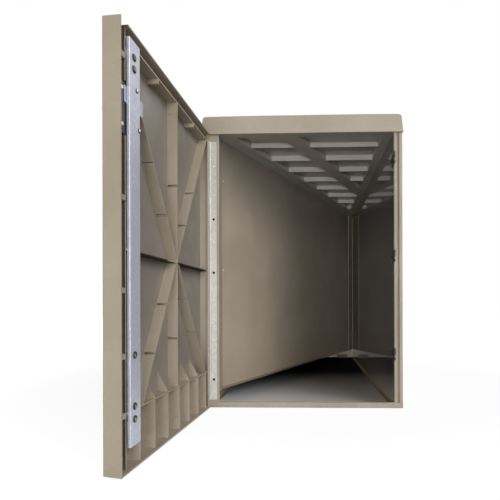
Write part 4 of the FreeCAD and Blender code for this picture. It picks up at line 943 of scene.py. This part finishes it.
@dataclass
class End:
    """One end of the locker: its sill, post, hinge, door and lock."""

    name: str
    plastic_radius_mm: float = 1.2
    sheet_radius_mm: float = 0.6

    def node(self, part: str) -> str:
        """Name of one of this end's CAD nodes."""
        return self.name + "_" + part

    def build(self) -> None:
        """Make and dress everything at this end."""
        into = 1.0 if self.name == "front" else -1.0
        door_out = np.array(outward(self.name))
        for part, finish in (("sill", WALL_PLASTIC), ("hinge_post", WALL_PLASTIC), ("bar_guides", DOOR_PLASTIC)):
            SoftenedCopy(self.node(part), finish, self.plastic_radius_mm).build()
        # The skin between the ribs, the undersides and the side of the lock rib take darker copies: painted
        # shade.
        SoftenedCopy(self.node("door_shell"), DOOR_PLASTIC, self.plastic_radius_mm,
                     patches=((SHADED_DOOR_SKIN, sheet_between_ribs(door_out)), (DOOR_UNDERSIDE_SHADE, undersides),
                              (LOCK_RECESS_SHADE, lock_recess(door_out)), (DOOR_FACE, outer_side(door_out)))).build()
        for part, finish in (("lock_strap", GALVANISED), ("lock_plate", BRIGHT_STEEL), ("keepers", BLACK_PAINT),
                             ("lock_case", BLACK_PAINT), ("partition_angle", TAN_PAINT),
                             ("lock_bar", BRIGHT_STEEL)):
            SoftenedCopy(self.node(part), finish, self.sheet_radius_mm).build()
        for part, finish in (("hinge_frame_leaf", HINGE_ZINC), ("hinge_door_leaf", HINGE_ZINC),
                             ("hinge_pin", HINGE_ZINC), ("handle_plate", BRIGHT_STEEL), ("pinion", BRIGHT_STEEL),
                             ("key_plug", BRASS), ("bar_pins", BRIGHT_STEEL),
                             ("partition_screws", SCREW_ZINC), ("keeper_screws", SCREW_ZINC)):
            dress(frame["nodes"][self.node(part)], finish)
        # The blackened hinge screws are painted shade, as empty holes.
        RoundHeads(self.node("hinge_frame_screws"), 5, (0, -into, 0), SCREW_ZINC, dark=(0, 2, 3)).build()
        RoundHeads(self.node("hinge_door_screws"), 4, -door_out, SCREW_ZINC).build()
        # The dark ring round each bolt and rivet head is painted shade.
        RoundHeads(self.node("strap_bolts"), 5, -door_out, YELLOW_ZINC, 11.0, 6.5, 5.0, 20.0, False,
                   ring_mm=8.8, ring=HEAD_RIM_SHADE).build()
        RoundHeads(self.node("strap_rivets"), 2, -door_out, BRIGHT_STEEL, 7.0, 6.5, 2.4, 3.0, False,
                   ring_mm=6.4, ring=HEAD_RIM_SHADE, lift_mm=0.5).build()
        RoundHeads(self.node("lock_screws"), 2, -door_out, SCREW_ZINC, 6.0, 2.4, 2.4, 1.0).build()
        THandle(self.name).build()


@dataclass
class Housing:
    """Walls, roof, ceiling, partition and anchors."""

    plastic_radius_mm: float = 1.5

    def build(self) -> None:
        """Make and dress the fixed mouldings and the anchors."""
        for node, finish in (("roof_cover", ROOF_PLASTIC), ("ceiling_panel", CEILING_LINER),
                             ("partition_panel", TAN_LINER), ("right_outer_panel", WALL_PLASTIC),
                             ("left_outer_panel", WALL_PLASTIC)):
            SoftenedCopy(node, finish, self.plastic_radius_mm).build()
        for node in ("right_inner_panel", "left_inner_panel"):
            SoftenedCopy(node, DARK_LINER, self.plastic_radius_mm,
                         patches=((WALL_PLASTIC, nose_and_flange),)).build()
        dress(frame["nodes"]["anchor_brackets"], DULL_ZINC)
        dress(frame["nodes"]["anchor_screws"], DULL_ZINC)


@dataclass(frozen=True)
class Lamp:
    """Large soft oval light that looks at one point of the locker's front."""

    name: str
    watts: float
    size_m: tuple[float, float]
    azimuth: float
    elevation: float
    distance_m: float

    def build(self, aim: Vector) -> None:
        """Hang the lamp, azimuth degrees to the right of straight in front and elevation degrees above level.

        Args:
            aim: the point that it looks at.
        """
        turn, rise = math.radians(self.azimuth), math.radians(self.elevation)
        away = Vector((math.sin(turn) * math.cos(rise), -math.cos(turn) * math.cos(rise), math.sin(rise)))
        light = bpy.data.lights.new(self.name, "AREA")
        light.shape = "ELLIPSE"
        light.size, light.size_y = self.size_m
        light.energy = self.watts
        lamp = bpy.data.objects.new(self.name, light)
        bpy.context.scene.collection.objects.link(lamp)
        lamp.location = aim + away * self.distance_m
        lamp.rotation_euler = (-away).to_track_quat("-Z", "Y").to_euler()


@dataclass
class Studio:
    """Plain pale floor, white surroundings and soft light from the front, above and behind."""

    floor_half_m: float = 40.0
    floor_colour: str = "#a2a3a5"
    # Ground inside the locker: painted light at its front, painted shade deeper in.
    ground_front_lit: str = "#f2f3f5"
    ground_deep_shade: str = "#38383a"
    whiteness: float = 0.84
    white_from_m: float = 3.5
    inside_half_m: tuple[float, float] = (0.46, 1.035)
    ground_fade_m: tuple[float, float] = (-0.95, 0.1)
    fill: float = 0.03
    aim: tuple[float, float, float] = (-0.1, -1.0, 0.7)
    lamps: tuple[Lamp, ...] = (Lamp("key_light", 1000.0, (11.0, 11.0), 39.0, 17.0, 16.0),
                               Lamp("side_light", 700.0, (10.0, 10.0), 62.0, 38.0, 16.0),
                               Lamp("low_light", 190.0, (3.0, 0.5), -3.0, -4.3, 6.5),
                               Lamp("back_light", 900.0, (11.0, 11.0), 222.0, 35.0, 16.0))

    def unseen_light(self, tree: bpy.types.NodeTree) -> bpy.types.NodeSocket:
        """Tell what is seen from what lights the locker.

        Args:
            tree: the tree of the floor's material or of the world.

        Returns:
            1 for rays from the camera, from a reflection or through glass, and 0 for the light's own rays.
        """
        path = add_node(tree, "ShaderNodeLightPath")
        seen = add_node(tree, "ShaderNodeMath", {"operation": "MAXIMUM"},
                        {0: path.outputs["Is Camera Ray"], 1: path.outputs["Is Glossy Ray"]})
        seen = add_node(tree, "ShaderNodeMath", {"operation": "MAXIMUM"},
                        {0: seen.outputs[0], 1: path.outputs["Is Transmission Ray"]})
        return seen.outputs[0]

    def floor(self) -> None:
        """Lay the floor: a flat grey square that still looks white where it surrounds the locker.

        The ground inside the locker is painted pale at its front and dark deeper in, as in the photograph:
        painted light where the lamps reach in, and painted shade further in.
        Outside its walls a white glow, seen by the camera and in reflections only, is added to a plain
        grey, so that the shadow stays. The glow grows to full white with the distance from the middle,
        where the lamps' light ends.
        """
        reach = self.floor_half_m
        mesh = bpy.data.meshes.new("studio_floor")
        square = np.array([(-reach, -reach, 0), (reach, -reach, 0), (reach, reach, 0), (-reach, reach, 0)])
        mesh.from_pydata(square, [], [(0, 1, 2, 3)])
        floor = bpy.data.objects.new("studio_floor", mesh)
        bpy.context.scene.collection.objects.link(floor)
        material = bpy.data.materials.new("studio_floor")
        material.use_nodes = True
        tree = material.node_tree
        tree.nodes.clear()
        place = add_node(tree, "ShaderNodeTexCoord").outputs["Object"]
        axes = add_node(tree, "ShaderNodeSeparateXYZ", None, {"Vector": place})
        beyond = []
        for axis, half in zip("XY", self.inside_half_m):
            size = add_node(tree, "ShaderNodeMath", {"operation": "ABSOLUTE"}, {0: axes.outputs[axis]})
            beyond.append(add_node(tree, "ShaderNodeMath", {"operation": "GREATER_THAN", 1: half},
                                   {0: size.outputs[0]}).outputs[0])
        outside = add_node(tree, "ShaderNodeMath", {"operation": "MAXIMUM"}, {0: beyond[0], 1: beyond[1]})
        distance = add_node(tree, "ShaderNodeVectorMath", {"operation": "LENGTH"}, {0: place})
        grown = add_node(tree, "ShaderNodeMapRange",
                         {"From Min": self.white_from_m * 0.4, "From Max": self.white_from_m,
                          "To Min": self.whiteness, "To Max": 1.0}, {"Value": distance.outputs["Value"]})
        glow = add_node(tree, "ShaderNodeMath", {"operation": "MULTIPLY"},
                        {0: outside.outputs[0], 1: grown.outputs["Result"]})
        glow = add_node(tree, "ShaderNodeMath", {"operation": "MULTIPLY"},
                        {0: glow.outputs[0], 1: self.unseen_light(tree)})
        white = add_node(tree, "ShaderNodeEmission", {"Color": (1.0, 1.0, 1.0, 1.0)},
                         {"Strength": glow.outputs[0]})
        # Painted light and shade on the ground inside: pale at the mouth, dark deeper in.
        fade_start, fade_end = self.ground_fade_m
        deeper = add_node(tree, "ShaderNodeMapRange", {"From Min": fade_start, "From Max": fade_end},
                          {"Value": axes.outputs["Y"]})
        ground = add_node(tree, "ShaderNodeMix", {"data_type": "RGBA", 6: linear(self.ground_front_lit),
                                                  7: linear(self.ground_deep_shade)},
                          {"Factor": deeper.outputs["Result"]})
        tone = add_node(tree, "ShaderNodeMix", {"data_type": "RGBA", 7: linear(self.floor_colour)},
                        {"Factor": outside.outputs[0], 6: ground.outputs[2]})
        grey = add_node(tree, "ShaderNodeBsdfDiffuse", None, {"Color": tone.outputs[2]})
        both = add_node(tree, "ShaderNodeAddShader", None, {0: white.outputs[0], 1: grey.outputs[0]})
        add_node(tree, "ShaderNodeOutputMaterial", None, {"Surface": both.outputs[0]})
        mesh.materials.append(material)

    def world(self) -> None:
        """Set the world: white to the camera and in reflections, a soft fill for everything else."""
        world = bpy.data.worlds.new("studio")
        bpy.context.scene.world = world
        world.use_nodes = True
        tree = world.node_tree
        tree.nodes.clear()
        strength = add_node(tree, "ShaderNodeMapRange", {"To Min": self.fill, "To Max": 1.0},
                            {"Value": self.unseen_light(tree)})
        sky = add_node(tree, "ShaderNodeBackground", {"Color": (1.0, 1.0, 1.0, 1.0)},
                       {"Strength": strength.outputs["Result"]})
        add_node(tree, "ShaderNodeOutputWorld", None, {"Surface": sky.outputs["Background"]})

    def build(self) -> None:
        """Set up floor, world and light."""
        self.floor()
        self.world()
        for lamp in self.lamps:
            lamp.build(Vector(self.aim))
        bpy.context.scene.view_settings.view_transform = "Standard"


@dataclass
class PhotoCamera:
    """Camera at the photograph's viewpoint, as fitted to the locker's own edges."""

    place: tuple[float, float, float] = (0.0383, -3.1686, 0.4929)
    yaw_degrees: float = 1.806
    roll_degrees: float = 0.148
    focal_px: float = 444.5
    centre_px: tuple[float, float] = (295.9, 304.95)
    picture_px: float = 500.0
    sensor_mm: float = 36.0

    def build(self) -> None:
        """Make the camera: the shift puts its axis at the fitted point of the picture."""
        data = bpy.data.cameras.new("photo_camera")
        data.sensor_width = self.sensor_mm
        data.lens = self.focal_px / self.picture_px * self.sensor_mm
        data.shift_x = 0.5 - self.centre_px[0] / self.picture_px
        data.shift_y = self.centre_px[1] / self.picture_px - 0.5
        data.clip_start = 0.05
        data.clip_end = 60.0
        camera = bpy.data.objects.new("photo_camera", data)
        bpy.context.scene.collection.objects.link(camera)
        upright = Matrix.Rotation(math.radians(90.0), 4, "X")
        roll = Matrix.Rotation(math.radians(self.roll_degrees), 4, "Y")
        yaw = Matrix.Rotation(math.radians(self.yaw_degrees), 4, "Z")
        camera.matrix_world = Matrix.Translation(self.place) @ yaw @ roll @ upright
        bpy.context.scene.camera = camera


def main() -> None:
    """Build every class in order and report it."""
    logging.basicConfig(level=logging.INFO, format="%(message)s")
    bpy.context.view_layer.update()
    Housing().build()
    for name in ENDS:
        End(name).build()
    Studio().build()
    PhotoCamera().build()
    log.info("done")


if __name__ == "__main__":
    main()
